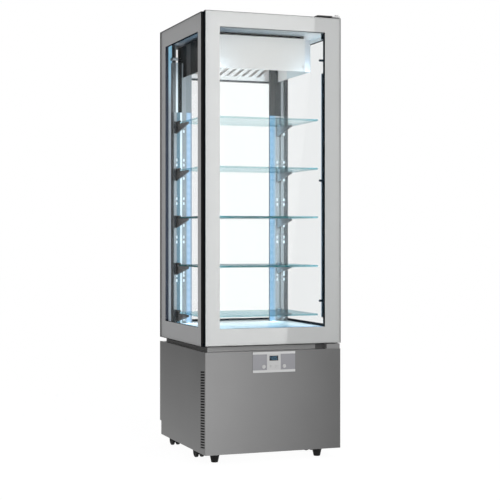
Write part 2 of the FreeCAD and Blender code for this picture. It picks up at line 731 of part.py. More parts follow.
def chamber_fittings():
    # Rear corner posts, slotted uprights, lamps, glass shelves and the brackets that hook into the slots.
    posts = []
    uprights = []
    housings = []
    covers = []
    blocks = []
    for side in SIDES:
        posts.append(corner_post(side))
        uprights.append(slotted_upright(side))
        housing, cover = rear_lamp(side)
        housings.append(housing)
        covers.append(cover)
        housing, cover, block = front_lamp(side)
        housings.append(housing)
        covers.append(cover)
        blocks.append(block)
    save("corner_posts", *posts)
    save("slotted_uprights", *uprights)
    save("lamp_housings", *housings, *blocks)
    save("lamp_covers", *covers)

    shelf_x = HALF - SHELF_SIDE_INSET
    shelf_y = (from_front(SHELF_FRONT), SHELF_REAR)
    shelves = [box((-shelf_x, shelf_x), shelf_y, (z, z + SHELF_GLASS)) for z in SHELF_BOTTOMS]
    save("glass_shelves", *shelves)
    save("shelf_brackets", *[bracket(side, z) for side in SIDES for z in SHELF_BOTTOMS])


def corner_post(side):
    height = (FLOOR_TOP, CEILING_BOTTOM)
    outer = side_box(side, INNER_X - POST, INNER_X, (INNER_REAR - POST, INNER_REAR), height)
    inner = side_box(side, INNER_X - POST + POST_WALL, INNER_X - POST_WALL,
                     (INNER_REAR - POST + POST_WALL, INNER_REAR - POST_WALL), height)
    x, y = riser_axis()
    exit_hole = rod((x, y, RISER_TOP), (0, -1, 0), POST, RISER_R + RISER_HOLE_GAP)
    return outer.cut([inner, exit_hole])


def slot_columns():
    return [side * (INNER_X - offset) for side in SIDES for offset in SLOT_COLUMNS]


def hook_heights(shelf_bottom):
    return [shelf_bottom - HOOK_DROP, shelf_bottom - HOOK_DROP - SLOT_PAIR]


def slotted_upright(side):
    # A folded channel with a pair of slots for every bracket and spare pairs between the shelves.
    height = (FLOOR_TOP, EVAP_DECK)
    face = UPRIGHT_FACE
    outer = side_box(side, INNER_X - UPRIGHT_WIDTH, INNER_X, (face, face + UPRIGHT_DEPTH), height)
    inner = side_box(side, INNER_X - UPRIGHT_WIDTH + SHEET, INNER_X - SHEET,
                     (face + SHEET, face + UPRIGHT_DEPTH), height)
    heights = [z for bottom in SHELF_BOTTOMS for z in hook_heights(bottom)]
    for i in range(SPARE_COUNT):
        middle = SHELF_BOTTOMS[0] + (SPARE_FIRST_SHARE + i * SPARE_PITCH_SHARE) * SHELF_PITCH
        heights += [middle - SLOT_PAIR / 2, middle + SLOT_PAIR / 2]
    slots = []
    for x in slot_columns():
        if x * side > 0:
            slots += [box((x - SLOT_WIDTH / 2, x + SLOT_WIDTH / 2), (face, face + SHEET),
                          (z - SLOT_HEIGHT / 2, z + SLOT_HEIGHT / 2)) for z in heights]
    return outer.cut([inner] + slots)


def rear_lamp(side):
    outer = INNER_X - UPRIGHT_WIDTH
    face = UPRIGHT_FACE
    inner = outer - LAMP_WIDTH
    housing = side_box(side, inner, outer, (face + LAMP_COVER, face + LAMP_DEPTH), (FLOOR_TOP, EVAP_DECK))
    cover = side_box(side, inner, outer, (face, face + LAMP_COVER), (FLOOR_TOP, EVAP_BOTTOM - REAR_LAMP_DROP))
    return housing, cover


def front_lamp(side):
    # A slim lamp behind the door frame, on thin stems between the ceiling block and the floor.
    outer = HALF - FRONT_LAMP_SIDE
    inner = outer - FRONT_LAMP_WIDTH
    near = CABINET_FRONT + FRONT_LAMP_GAP
    far = near + LAMP_DEPTH
    height = (FLOOR_TOP + FRONT_LAMP_RISE, EVAP_BOTTOM - FRONT_LAMP_DROP)
    x = side * (inner + outer) / 2
    y = (near + far) / 2
    block_low = CEILING_BOTTOM - LAMP_BLOCK_HEIGHT
    stem = rod((x, y, FLOOR_TOP), (0, 0, 1), block_low - FLOOR_TOP, LAMP_STEM_R)
    clips = []
    for i in (-1, 0, 1):
        start = (x, y, LAMP_CLIP_MIDDLE + i * LAMP_CLIP_PITCH)
        clips.append(rod(start, (-side, 0, 0), FRONT_LAMP_WIDTH / 2 + LAMP_CLIP_LENGTH, LAMP_CLIP_R))
    body = side_box(side, inner, outer, (near, far - LAMP_COVER), height)
    cover = side_box(side, inner, outer, (far - LAMP_COVER, far), height)
    housing = joined([body, stem] + clips).cut(cover)
    half = LAMP_BLOCK / 2
    block = box((x - half, x + half), (y - half, y + half), (block_low, CEILING_BOTTOM))
    return housing, cover, block


def bracket(side, shelf_bottom):
    # A plate under the shelf with a claw over its rear edge, a flange on the upright's face and two hooks in
    # the slots. All brackets hang in the left one of an upright's two columns of slots.
    x = min(column for column in slot_columns() if column * side > 0)
    shelf_top = shelf_bottom + SHELF_GLASS
    face = UPRIGHT_FACE
    tip = face - BRACKET_REACH
    edge = SHELF_REAR
    claw = edge - BRACKET_CLAW
    left = x - BRACKET_PLATE / 2
    outline = [(left, tip, shelf_bottom), (left, tip, shelf_bottom - BRACKET_NOSE),
               (left, face, shelf_bottom - BRACKET_DROP), (left, face, shelf_top + BRACKET_LIP),
               (left, claw, shelf_top + BRACKET_LIP), (left, claw, shelf_top),
               (left, edge, shelf_top), (left, edge, shelf_bottom)]
    plate = prism(outline, (BRACKET_PLATE, 0, 0))
    reach = SLOT_HEIGHT / 2 - HOOK_GAP
    hooks = [box((left, left + BRACKET_PLATE), (face, face + HOOK_REACH), (z - reach, z + reach))
             for z in hook_heights(shelf_bottom)]
    flange = side_box(side, abs(x), abs(x) + BRACKET_FLANGE, (face - BRACKET_FLANGE_SHEET, face),
                      (shelf_bottom - BRACKET_DROP, shelf_top + BRACKET_LIP))
    return joined([plate, flange] + hooks)


def module_box(gap, depth):
    return box(around(MODULE_OFFSET, MODULE_WIDTH + 2 * gap), depth,
               (PANEL_BOTTOM + TRIM_HEIGHT - gap, PANEL_TOP - TRIM_HEIGHT + gap))


def module_opening():
    return module_box(SEAT_GAP, (FRONT, FRONT_PANEL_BACK))


def button(centre, radius, gap, back):
    return rod((MODULE_OFFSET + centre, FRONT, BUTTON_ROW), (0, 1, 0), back - FRONT, radius + gap)


def button_holes(back):
    return [button(x, BUTTON_R, SEAT_GAP, back) for x in (POWER_BUTTON, LIGHT_BUTTON)]


def down_key(gap, back):
    return box(around(MODULE_OFFSET + DOWN_KEY, DOWN_KEY_WIDTH + 2 * gap), (FRONT, back),
               around(BUTTON_ROW, DOWN_KEY_HEIGHT + 2 * gap))


def control_panel():
    # Face plate with light trim bars, a controller with its display, and four buttons that travel.
    plate_x = around(PANEL_OFFSET, PANEL_WIDTH)
    plate = box(plate_x, (PLATE_FACE, FRONT_PANEL_FACE), (PANEL_BOTTOM, PANEL_TOP))
    save("control_plate", plate.cut([module_opening()] + button_holes(FRONT_PANEL_FACE)))
    trim_y = (PLATE_FACE - TRIM_PROUD, PLATE_FACE)
    trim_lows = (PANEL_BOTTOM, PANEL_TOP - TRIM_HEIGHT)
    trim = [box(plate_x, trim_y, (low, low + TRIM_HEIGHT)) for low in trim_lows]

    face = PLATE_FACE - MODULE_PROUD
    window_x = around(MODULE_OFFSET, DISPLAY_WIDTH)
    window_z = (DISPLAY_BOTTOM, DISPLAY_BOTTOM + DISPLAY_HEIGHT)
    window_back = face + DISPLAY_SINK + DISPLAY_GLASS
    button_back = FRONT + BUTTON_LENGTH
    pocket_back = button_back + BUTTON_TRAVEL + SEAT_GAP
    module = module_box(0, (face, face + MODULE_DEPTH))
    module = module.cut([box(window_x, (face, window_back), window_z),
                         button(SET_KEY, SET_KEY_R, SEAT_GAP, pocket_back), down_key(SEAT_GAP, pocket_back)])
    save("controller_module", module, *trim)
    save("display_window", box(window_x, (face + DISPLAY_SINK, window_back), window_z))
    save("button_power", button(POWER_BUTTON, BUTTON_R, 0, button_back))
    save("button_light", button(LIGHT_BUTTON, BUTTON_R, 0, button_back))
    save("key_set", button(SET_KEY, SET_KEY_R, 0, button_back))
    save("key_down", down_key(0, button_back))
    box_front = from_front(SWITCH_BOX_FRONT)
    save("switch_box", box(plate_x, (box_front, box_front + SWITCH_BOX_DEPTH), (PANEL_BOTTOM, DECK_BOTTOM)))


def foot_places():
    return [(side * (HALF - FOOT_SIDE), from_front(FOOT_FRONT)) for side in SIDES]


def feet():
    # Two levelling feet that screw into bosses under the pan.
    for (x, y), name in zip(foot_places(), ("left", "right")):
        cone = turned([(0, 0), (FOOT_BOTTOM_R, 0), (FOOT_TOP_R, FOOT_HEIGHT), (0, FOOT_HEIGHT)], x, y)
        stud = rod((x, y, FOOT_HEIGHT), (0, 0, 1), PAN_BOTTOM - FOOT_HEIGHT, FOOT_STUD_R)
        save("foot_" + name, joined([cone, stud]))


def castors():
    # Four swivel castors: a plate with its kingpin, a body that swivels on it, and twin wheels on an axle.
    plates = []
    plate_low = PAN_BOTTOM - CASTOR_PLATE_SHEET
    hub_top = plate_low - SEAT_GAP
    hub_low = hub_top - CASTOR_HUB_HEIGHT
    pin_low = plate_low - KINGPIN_LENGTH
    for place, y in (("front", FRONT + CASTOR_FRONT), ("rear", REAR - CASTOR_REAR)):
        for side, name in zip(SIDES, ("left", "right")):
            x = side * (HALF - CASTOR_SIDE)
            axle_y = y + CASTOR_TRAIL
            plate = box(around(x, CASTOR_PLATE), around(y, CASTOR_PLATE), (plate_low, PAN_BOTTOM))
            pin = rod((x, y, pin_low), (0, 0, 1), KINGPIN_LENGTH, KINGPIN_R)
            plates.append(joined([plate, pin]))
            hub = rod((x, y, hub_low), (0, 0, 1), CASTOR_HUB_HEIGHT, CASTOR_HUB_R)
            web = box(around(x, CASTOR_WEB), (y - CASTOR_HUB_R, axle_y + CASTOR_WEB_END),
                      (WHEEL_R - CASTOR_WEB_END, hub_low))
            pin_bore = rod((x, y, hub_low), (0, 0, 1), CASTOR_HUB_HEIGHT, KINGPIN_R + RUNNING_GAP)
            reach = WHEEL_GAP / 2 + WHEEL_WIDTH
            axle_bore = rod((x - reach, axle_y, WHEEL_R), (1, 0, 0), 2 * reach, AXLE_R + RUNNING_GAP)
            save("castor_body_" + place + "_" + name, joined([hub, web]).cut([pin_bore, axle_bore]))
            axle = rod((x - reach, axle_y, WHEEL_R), (1, 0, 0), 2 * reach, AXLE_R)
            wheels = [rod((x + start, axle_y, WHEEL_R), (1, 0, 0), WHEEL_WIDTH, WHEEL_R)
                      for start in (-reach, WHEEL_GAP / 2)]
            save("castor_wheels_" + place + "_" + name, joined([axle] + wheels))
    save("castor_plates", *plates)


def inlet_box(gap, depth):
    return box((INLET_X - gap, INLET_X + INLET_WIDTH + gap), depth,
               (INLET_Z - gap, INLET_Z + INLET_HEIGHT + gap))


def machine_compartment():
    # Condensing unit, its fan, the condensate tray, the lines and the mains inlet.
    plate_low = PAN_TOP + GROMMET_HEIGHT
    plate_top = plate_low + COMPRESSOR_PLATE
    top = plate_top + COMPRESSOR_HEIGHT
    belly = shrunk((plate_top, top), COMPRESSOR_SHOULDER)
    dome = turned([(0, plate_top), (COMPRESSOR_TOP_R, plate_top), (COMPRESSOR_R, belly[0]),
                   (COMPRESSOR_R, belly[1]), (COMPRESSOR_TOP_R, top), (0, top)], COMPRESSOR_X, COMPRESSOR_Y)
    plate = box(around(COMPRESSOR_X, COMPRESSOR_PLATE_WIDTH), around(COMPRESSOR_Y, COMPRESSOR_PLATE_DEPTH),
                (plate_low, plate_top))
    discharge = (COMPRESSOR_X + DISCHARGE_OFFSET, COMPRESSOR_Y - STUB_REACH, DISCHARGE_Z)
    suction = (COMPRESSOR_X + SUCTION_OFFSET, COMPRESSOR_Y + STUB_REACH, RISER_RUN)
    stubs = [rod(discharge, (0, 1, 0), STUB_REACH, LINE_R), rod(suction, (0, -1, 0), STUB_REACH, RISER_R)]
    save("compressor", joined([dome, plate] + stubs))
    grommets = []
    for x in shrunk(around(COMPRESSOR_X, COMPRESSOR_PLATE_WIDTH), GROMMET_R):
        for y in shrunk(around(COMPRESSOR_Y, COMPRESSOR_PLATE_DEPTH), GROMMET_R):
            grommets.append(rod((x, y, PAN_TOP), (0, 0, 1), GROMMET_HEIGHT, GROMMET_R))
    save("compressor_grommets", *grommets)

    coil_x = around(from_left(CONDENSER_SIDE), CONDENSER_WIDTH)
    coil_y = (from_front(CONDENSER_FRONT), from_front(CONDENSER_FRONT) + CONDENSER_DEPTH)
    coil_z = (PAN_TOP, PAN_TOP + CONDENSER_HEIGHT)
    save("condenser", fin_block(coil_x, coil_y, coil_z))
    condenser_fan(coil_x, coil_y[1], coil_z)

    tray_x = around(from_left(TRAY_SIDE), TRAY_WIDTH)
    tray_y = around(REAR - TRAY_REAR, TRAY_DEPTH)
    tray_top = PAN_TOP + TRAY_HEIGHT
    tray = box(tray_x, tray_y, (PAN_TOP, tray_top))
    well = box(shrunk(tray_x, TRAY_WALL), shrunk(tray_y, TRAY_WALL), (PAN_TOP + TRAY_WALL, tray_top))
    save("condensate_tray", tray.cut(well))

    lines(coil_x[1] + TUBE_END, (coil_y[0] + coil_y[1]) / 2, coil_z, discharge, suction)

    flange = inlet_box(INLET_WALL, (REAR_PANEL_FACE, REAR_PANEL_FACE + INLET_FLANGE))
    body = inlet_box(0, (REAR_PANEL_FACE - INLET_DEPTH, REAR_PANEL_FACE))
    outside = REAR_PANEL_FACE + INLET_FLANGE
    recess = inlet_box(-INLET_WALL, (outside - INLET_RECESS, outside))
    middle_x = INLET_X + INLET_WIDTH / 2
    middle_z = INLET_Z + INLET_HEIGHT / 2
    pin_root = outside - INLET_RECESS
    pins = [box(around(middle_x + i * INLET_PIN_PITCH, INLET_PIN), (pin_root, pin_root + INLET_PIN_LENGTH),
                around(middle_z, 2 * INLET_PIN)) for i in (-1, 0, 1)]
    save("mains_inlet", joined([joined([flange, body]).cut(recess)] + pins))


def condenser_fan(coil_x, front, coil_z):
    # Shroud behind the condenser, the fan in its opening and the motor on two arms behind it.
    back = front + SHROUD_DEPTH
    middle_x = (coil_x[0] + coil_x[1]) / 2
    middle_z = (coil_z[0] + coil_z[1]) / 2
    shroud = box(coil_x, (front, back), coil_z)
    hollow = box(shrunk(coil_x, SHROUD_SHEET), (front, back - SHROUD_SHEET), shrunk(coil_z, SHROUD_SHEET))
    opening = rod((middle_x, front, middle_z), (0, 1, 0), SHROUD_DEPTH, FAN_R + FAN_TIP_GAP)
    shroud = shroud.cut([hollow, opening])

    wheel_front = back - FAN_HUB_LENGTH / 2
    wheel = fan_wheel(FAN_R)
    wheel.rotate(V(0, 0, 0), V(1, 0, 0), -90)
    wheel.translate(V(middle_x, wheel_front, middle_z))
    save("condenser_fan", wheel)

    motor_front = wheel_front + FAN_HUB_LENGTH + MOTOR_GAP
    motor_back = motor_front + MOTOR_LENGTH
    motor = rod((middle_x, motor_front, middle_z), (0, 1, 0), MOTOR_LENGTH, MOTOR_R)
    bore = rod((middle_x, motor_front, middle_z), (0, 1, 0), SHAFT_LENGTH, SHAFT_BORE_R)
    arm_z = around(middle_z, ARM_WIDTH)
    foot_x = CONDENSER_WIDTH / 2
    bar = box((middle_x - foot_x, middle_x + foot_x), (motor_back, motor_back + ARM_SHEET), arm_z)
    legs = [box(span(middle_x + s * foot_x, middle_x + s * (foot_x - ARM_SHEET)), (back, motor_back), arm_z)
            for s in SIDES]
    save("fan_shroud_and_motor", shroud, joined([motor, bar] + legs).cut(bore))


def lines(coil_end, coil_y, coil_z, discharge, suction):
    # Discharge, liquid and suction lines, the drier, and the capillary that joins the suction line.
    high = tube_row(coil_z, COIL_TUBE_ROWS - 1)
    low = tube_row(coil_z, 0)
    x, y = riser_axis()
    hot = tube([(coil_end, coil_y, high), (DISCHARGE_CORNER_X, coil_y, high),
                (DISCHARGE_CORNER_X, DISCHARGE_CORNER_Y, high), (discharge[0], DISCHARGE_CORNER_Y, high),
                (discharge[0], DISCHARGE_CORNER_Y, discharge[2]), discharge], LINE_R)
    liquid = tube([(coil_end, coil_y, low), (DRIER_X, coil_y, low), (DRIER_X, DRIER_Y, low)], LINE_R)
    inside = y - RISER_STEP
    wall = -HALF + EVAP_SIDE_INSET
    riser = tube([suction, (suction[0], y, RISER_RUN), (x, y, RISER_RUN), (x, y, RISER_TOP),
                  (x, inside, RISER_TOP), (wall + RISER_END, inside, RISER_TOP)], RISER_R)
    outlet = DRIER_Y + DRIER_LENGTH
    bend = outlet + CAPILLARY_BEND
    capillary = tube([(DRIER_X, outlet, low), (DRIER_X, bend, low), (DRIER_X, bend, CAPILLARY_RUN),
                      (DRIER_X, y, CAPILLARY_RUN), (x + RISER_R + SEAT_GAP, y, CAPILLARY_RUN)], CAPILLARY_R)
    drier = rod((DRIER_X, DRIER_Y, low), (0, 1, 0), DRIER_LENGTH, DRIER_R)
    save("refrigerant_lines", hot, liquid, riser, capillary, drier)


os.makedirs("parts", exist_ok=True)
base_cabinet()
control_panel()
machine_compartment()
feet()
castors()
chamber_floor_and_roof()
glazing()
door_surround()
door()
chamber_fittings()
evaporator()
screws()
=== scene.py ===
import math

import bmesh
import bpy
from mathutils import Matrix, Vector


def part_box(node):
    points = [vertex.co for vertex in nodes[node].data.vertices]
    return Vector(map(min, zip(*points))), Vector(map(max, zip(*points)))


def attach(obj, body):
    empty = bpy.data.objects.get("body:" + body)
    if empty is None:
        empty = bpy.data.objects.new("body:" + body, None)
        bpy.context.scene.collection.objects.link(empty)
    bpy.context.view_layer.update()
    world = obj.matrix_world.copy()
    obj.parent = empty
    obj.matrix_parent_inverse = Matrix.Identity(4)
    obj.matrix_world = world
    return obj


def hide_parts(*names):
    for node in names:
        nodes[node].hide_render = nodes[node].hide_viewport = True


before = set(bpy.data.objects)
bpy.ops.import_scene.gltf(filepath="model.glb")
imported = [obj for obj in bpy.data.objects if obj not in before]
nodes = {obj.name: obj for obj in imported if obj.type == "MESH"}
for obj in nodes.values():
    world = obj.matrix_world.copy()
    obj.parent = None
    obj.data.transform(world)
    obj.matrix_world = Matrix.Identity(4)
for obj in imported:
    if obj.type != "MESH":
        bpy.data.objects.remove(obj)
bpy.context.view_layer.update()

# Machine pan, deck, rear panel and the castors' plates: galvanised sheet, cut and folded.
# The pan carries the machinery and the feet, and the deck carries the glass chamber.
# Zinc has a faint spangle and dulls in patches; the pan's rims at the sides are black, as painted shade
# where they show through the lowest vent slots.


class Finish:
    """A socket of a finish's node tree: sums on it add Math nodes, and add() makes any other node."""

    def __init__(self, tree, socket=None):
        self.tree = tree
        self.socket = socket

    def add(self, kind, settings=None, sockets=None, out=0):
        node = self.tree.nodes.new("ShaderNode" + kind)
        for name, value in (settings or {}).items():
            setattr(node, name, value)
        for name, value in (sockets or {}).items():
            if isinstance(value, Finish):
                self.tree.links.new(value.socket, node.inputs[name])
            else:
                node.inputs[name].default_value = value
        return Finish(self.tree, node.outputs[out] if len(node.outputs) else None)

    def sum(self, operation, first, second=0.0):
        return self.add("Math", {"operation": operation}, {0: first, 1: second})

    def __add__(self, other):
        return self.sum("ADD", self, other)

    def __radd__(self, other):
        return self.sum("ADD", other, self)

    def __sub__(self, other):
        return self.sum("SUBTRACT", self, other)

    def __rsub__(self, other):
        return self.sum("SUBTRACT", other, self)

    def __mul__(self, other):
        return self.sum("MULTIPLY", self, other)

    def __rmul__(self, other):
        return self.sum("MULTIPLY", other, self)

    def __truediv__(self, other):
        return self.sum("DIVIDE", self, other)

    def __rtruediv__(self, other):
        return self.sum("DIVIDE", other, self)

    def __mod__(self, other):
        return self.sum("FLOORED_MODULO", self, other)

    def __rmod__(self, other):
        return self.sum("FLOORED_MODULO", other, self)

    def __pow__(self, other):
        return self.sum("POWER", self, other)

    def __rpow__(self, other):
        return self.sum("POWER", other, self)

    def __gt__(self, other):
        return self.sum("GREATER_THAN", self, other)

    def __lt__(self, other):
        return self.sum("LESS_THAN", self, other)

    def __abs__(self):
        return self.sum("ABSOLUTE", self)

    def place(self):
        """Where a point of the piece is, in the part's own frame."""
        return self.add("TexCoord", out="Object")

    def turned(self):
        """Which way the surface faces there, in the same frame."""
        return self.add("TexCoord", out="Normal")

    def axes(self):
        xyz = self.add("SeparateXYZ", {}, {0: self})
        return [Finish(self.tree, output) for output in xyz.socket.node.outputs]

    def held(self, low=0.0, high=1.0):
        """The value, kept from going below or above these."""
        return self.add("Clamp", {}, {"Value": self, "Min": low, "Max": high})

    def stretched(self, x, y, z):
        return self.add("VectorMath", {"operation": "MULTIPLY"}, {0: self, 1: (x, y, z)})

    def noise(self, scale, detail=3.0, roughness=0.5):
        return self.add("TexNoise", {}, {"Vector": self, "Scale": scale, "Detail": detail,
                                         "Roughness": roughness}, "Fac")

    def between(self, low, high):
        """The colour that lies this far from one colour to the other."""
        return self.add("Mix", {"data_type": "RGBA"}, {0: self, 6: low, 7: high}, 2)

    def raised(self, height, strength=1.0):
        """The normal of a surface raised by this much at its highest, in metres."""
        return self.add("Bump", {}, {"Height": self, "Distance": height, "Strength": strength})

    def mixed_shader(self, first, second):
        return self.add("MixShader", {}, {0: self, 1: first, 2: second})

    def surface(self, **sockets):
        """A Principled shader; a socket's name has underscores in place of its blanks."""
        named = {name.replace("_", " "): value for name, value in sockets.items()}
        return self.add("BsdfPrincipled", {}, named)


def grey(level, blue=0.0):
    return (level, level, level * (1 + blue), 1.0)


def finished(name, recipe):
    material = bpy.data.materials.new(name)
    material.use_nodes = True
    material.node_tree.nodes.clear()
    start = Finish(material.node_tree)
    start.add("OutputMaterial", {}, {"Surface": recipe(start)})
    return material


def dress(material, *names):
    for name in names:
        slots = nodes[name].data.materials
        slots.clear()
        slots.append(material)


def soften(width, *names):
    """Breaks the sharp edges of a piece, as sheet and mouldings have them."""
    for name in names:
        weld = nodes[name].modifiers.new("weld", "WELD")
        weld.merge_threshold = 1e-5
        edge = nodes[name].modifiers.new("edge", "BEVEL")
        edge.width = width
        edge.segments = 2
        edge.limit_method = "ANGLE"
        edge.angle_limit = math.radians(50)
        flat = nodes[name].modifiers.new("flat", "WEIGHTED_NORMAL")
        flat.weight = 100


def zinc_recipe(start):
    place = start.place()
    cells = place.add("TexVoronoi", {}, {"Vector": place, "Scale": 85.0}, "Color")
    spangle = cells.axes()[0]
    dull = place.noise(9.0)
    tone = spangle * 0.35 + dull * 0.65
    return start.surface(Base_Color=tone.between(grey(0.36), grey(0.55)), Metallic=1.0,
                         Roughness=0.3 + tone * 0.25, Normal=spangle.raised(0.0001, 0.2))


def pan_recipe(start):
    place = start.place()
    painted_shade_rim_from = 0.29
    # Painted shade: the side rims are black where they show through the lowest vent slots.
    painted_shade_rim = abs(place.axes()[0]) > painted_shade_rim_from
    dull = place.noise(9.0)
    sheet = dull.between(grey(0.36), grey(0.55))
    black = grey(0.008)
    return start.surface(Base_Color=painted_shade_rim.between(sheet, black), Metallic=1 - painted_shade_rim,
                         Roughness=0.35 + dull * 0.25 + painted_shade_rim * 0.2, Specular_IOR_Level=0.1)


zinc = finished("galvanised_sheet", zinc_recipe)
dress(zinc, "base_deck", "base_rear_panel", "castor_plates")
dress(finished("pan_sheet", pan_recipe), "base_pan")

# Base cladding: two side panels with slanted vents and a front panel, in satin stainless sheet.
# The grain runs level, left by the abrasive belt, and the edges are folded and deburred.
# The front panel has openings for the controller and for two buttons; painted shade darkens the front to the
# right and upwards, and the sides upwards.


def satin_recipe(low, high, level, painted_light_to_right, painted_shade_to_top, painted_shade_twist):
    """Satin sheet that lies at a level between two greys, darkened to the right and upwards as painted
    shade.
    """
    def recipe(start):
        place = start.place()
        grain = place.stretched(3.0, 3.0, 1400.0).noise(1.0, 4.0, 0.6)
        cloud = place.noise(3.5, 2.0)
        across, _, height = place.axes()
        rise = height - panel_middle
        patches = grain * 0.12 + cloud * 0.18
        # Painted shade: the tone falls to the right and upwards, with a cross term between the two.
        tone = patches + level - across * painted_light_to_right - rise * painted_shade_to_top + across * rise * painted_shade_twist
        return start.surface(Base_Color=tone.between(low, high), Metallic=0.85,
                             Roughness=0.28 + grain * 0.1, Specular_Tint=grey(0.6),
                             Normal=grain.raised(0.00003, 0.25))
    return recipe


panel_middle = 0.25
satin_front = satin_recipe(grey(0.1), grey(0.22), level=0.19, painted_light_to_right=0.95, painted_shade_to_top=1.08, painted_shade_twist=2.5)
satin_side = satin_recipe(grey(0.07), grey(0.22), level=0.428, painted_light_to_right=0.0, painted_shade_to_top=1.85, painted_shade_twist=0.0)
dress(finished("satin_front", satin_front), "base_front_panel")
dress(finished("satin_side", satin_side), "base_sides")

# Screws that hold the rear panel, the top hinge plate and the cooler's front.
# Pan heads in bright zinc, with the sharp rim taken off.


def bright_zinc_recipe(start):
    wear = start.place().noise(160.0)
    return start.surface(Base_Color=wear.between(grey(0.5), grey(0.72)), Metallic=1.0,
                         Roughness=0.22 + wear * 0.2)


dress(finished("bright_zinc", bright_zinc_recipe), "fixing_screws")
soften(0.0005, "fixing_screws")

# Compressor on its rubber grommets: a welded steel can with a coat of black enamel.
# The coat is thick, so it has a slight ripple and shines on the shoulders.


def enamel_recipe(start):
    place = start.place()
    ripple = place.noise(70.0, 2.0)
    dust = place.noise(14.0)
    return start.surface(Base_Color=dust.between(grey(0.012), grey(0.03)), Roughness=0.22 + dust * 0.2,
                         Coat_Weight=0.4, Normal=ripple.raised(0.0004, 0.3))


def rubber_recipe(start):
    place = start.place()
    fine = place.noise(600.0, 2.0)
    bloom = place.noise(30.0)
    return start.surface(Base_Color=bloom.between(grey(0.006), grey(0.014)), Roughness=0.55 + bloom * 0.2,
                         Specular_IOR_Level=0.2, Normal=fine.raised(0.0001, 0.3))


rubber = finished("black_rubber", rubber_recipe)
dress(finished("black_enamel", enamel_recipe), "compressor")
dress(rubber, "compressor_grommets")

# Condenser and cooler coils: stacks of thin aluminium fins on tubes.
# The fins are mill finish, with a little grey dust in patches.


def fin_recipe(start):
    dust = start.place().noise(40.0)
    return start.surface(Base_Color=dust.between(grey(0.5), grey(0.7)), Metallic=1.0,
                         Roughness=0.32 + dust * 0.2)


dress(finished("fin_aluminium", fin_recipe), "condenser", "evaporator_coil")

# Refrigerant lines, with the drier: drawn copper, brazed at the joints.
# Heat from the torch leaves brown and pink patches along the tube.
# Above the base the line to the cooler has a sleeve of black foam, with white foam on its level end.


def copper_recipe(start):
    place = start.place()
    heat = place.noise(22.0, 4.0)
    across, _, height = place.axes()
    base_top, level_end = 0.47, 1.6
    white_from, grey_from = -0.239, -0.2625
    sleeve = height > base_top
    pale = (across < grey_from).between(grey(0.9), grey(0.3))
    foam = ((height > level_end) * (across < white_from)).between(grey(0.008), pale)
    tube = heat.between((0.42, 0.14, 0.06, 1), (0.75, 0.33, 0.2, 1))
    return start.surface(Base_Color=sleeve.between(tube, foam), Metallic=1 - sleeve,
                         Roughness=0.2 + heat * 0.25 + sleeve * 0.4)


dress(finished("copper_tube", copper_recipe), "refrigerant_lines")

# Fans, their motors and shroud, the drip tray, the switch box, the mains inlet and the dust filters.
# Wheels, tray, box and inlet are black plastic with a fine spark-eroded grain; the filters are dark mats.
# The shroud and the motors are plain zinc-plated steel.


def moulding_recipe(low, high, rough, shine=0.5):
    def recipe(start):
        place = start.place()
        grain = place.noise(1500.0, 2.0)
        shade = place.noise(12.0)
        return start.surface(Base_Color=shade.between(low, high), Roughness=rough + shade * 0.12,
                             Specular_IOR_Level=shine, Normal=grain.raised(0.00008, 0.35))
    return recipe


black_moulding = finished("black_moulding", moulding_recipe(grey(0.010), grey(0.022), 0.42, 0.3))
filter_mat = finished("filter_mat", moulding_recipe(grey(0.02), grey(0.03), 0.8, 0.0))
dress(black_moulding, "condenser_fan", "evaporator_fan", "condensate_tray", "switch_box", "mains_inlet")
dress(filter_mat, "vent_filters")
dress(zinc, "fan_shroud_and_motor", "evaporator_fan_motor")

# Levelling feet: black rubber cups moulded on a steel stud, wider above than at the sole.
# Each has two grip rings round it and a rounded sole, and turns to level the cabinet.


def closed_mesh(name, made):
    """Ends a mesh that has been built up, with its faces turned outwards."""
    bmesh.ops.recalc_face_normals(made, faces=made.faces)
    mesh = bpy.data.meshes.new(name)
    made.to_mesh(mesh)
    made.free()
    return mesh


def turned_mesh(name, profile, turns=48):
    """A closed turned shape from (radius, height) points, the first and last on the axis."""
    made = bmesh.new()
    angles = [2 * math.pi * i / turns for i in range(turns)]
    rings = [[made.verts.new((radius * math.cos(angle), radius * math.sin(angle), height))
              for angle in angles] for radius, height in profile[1:-1]]
    ends = [made.verts.new((0, 0, profile[0][1])), made.verts.new((0, 0, profile[-1][1]))]
    for i in range(turns):
        j = (i + 1) % turns
        made.faces.new((ends[0], rings[0][j], rings[0][i]))
        made.faces.new((ends[1], rings[-1][i], rings[-1][j]))
        for below, above in zip(rings, rings[1:]):
            made.faces.new((below[i], below[j], above[j], above[i]))
    return closed_mesh(name, made)


def smooth_by_angle(mesh, degrees=35):
    mesh.polygons.foreach_set("use_smooth", [True] * len(mesh.polygons))
    mesh.set_sharp_from_angle(angle=math.radians(degrees))


def piece(name, mesh, material, body, slot, *stands_for):
    """Adds a finished piece to the part: it rides on a body and may stand for CAD nodes."""
    thing = bpy.data.objects.new(name, mesh)
    bpy.context.scene.collection.objects.link(thing)
    mesh.materials.append(material)
    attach(thing, body)
    if stands_for:
        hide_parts(*stands_for)
    return thing


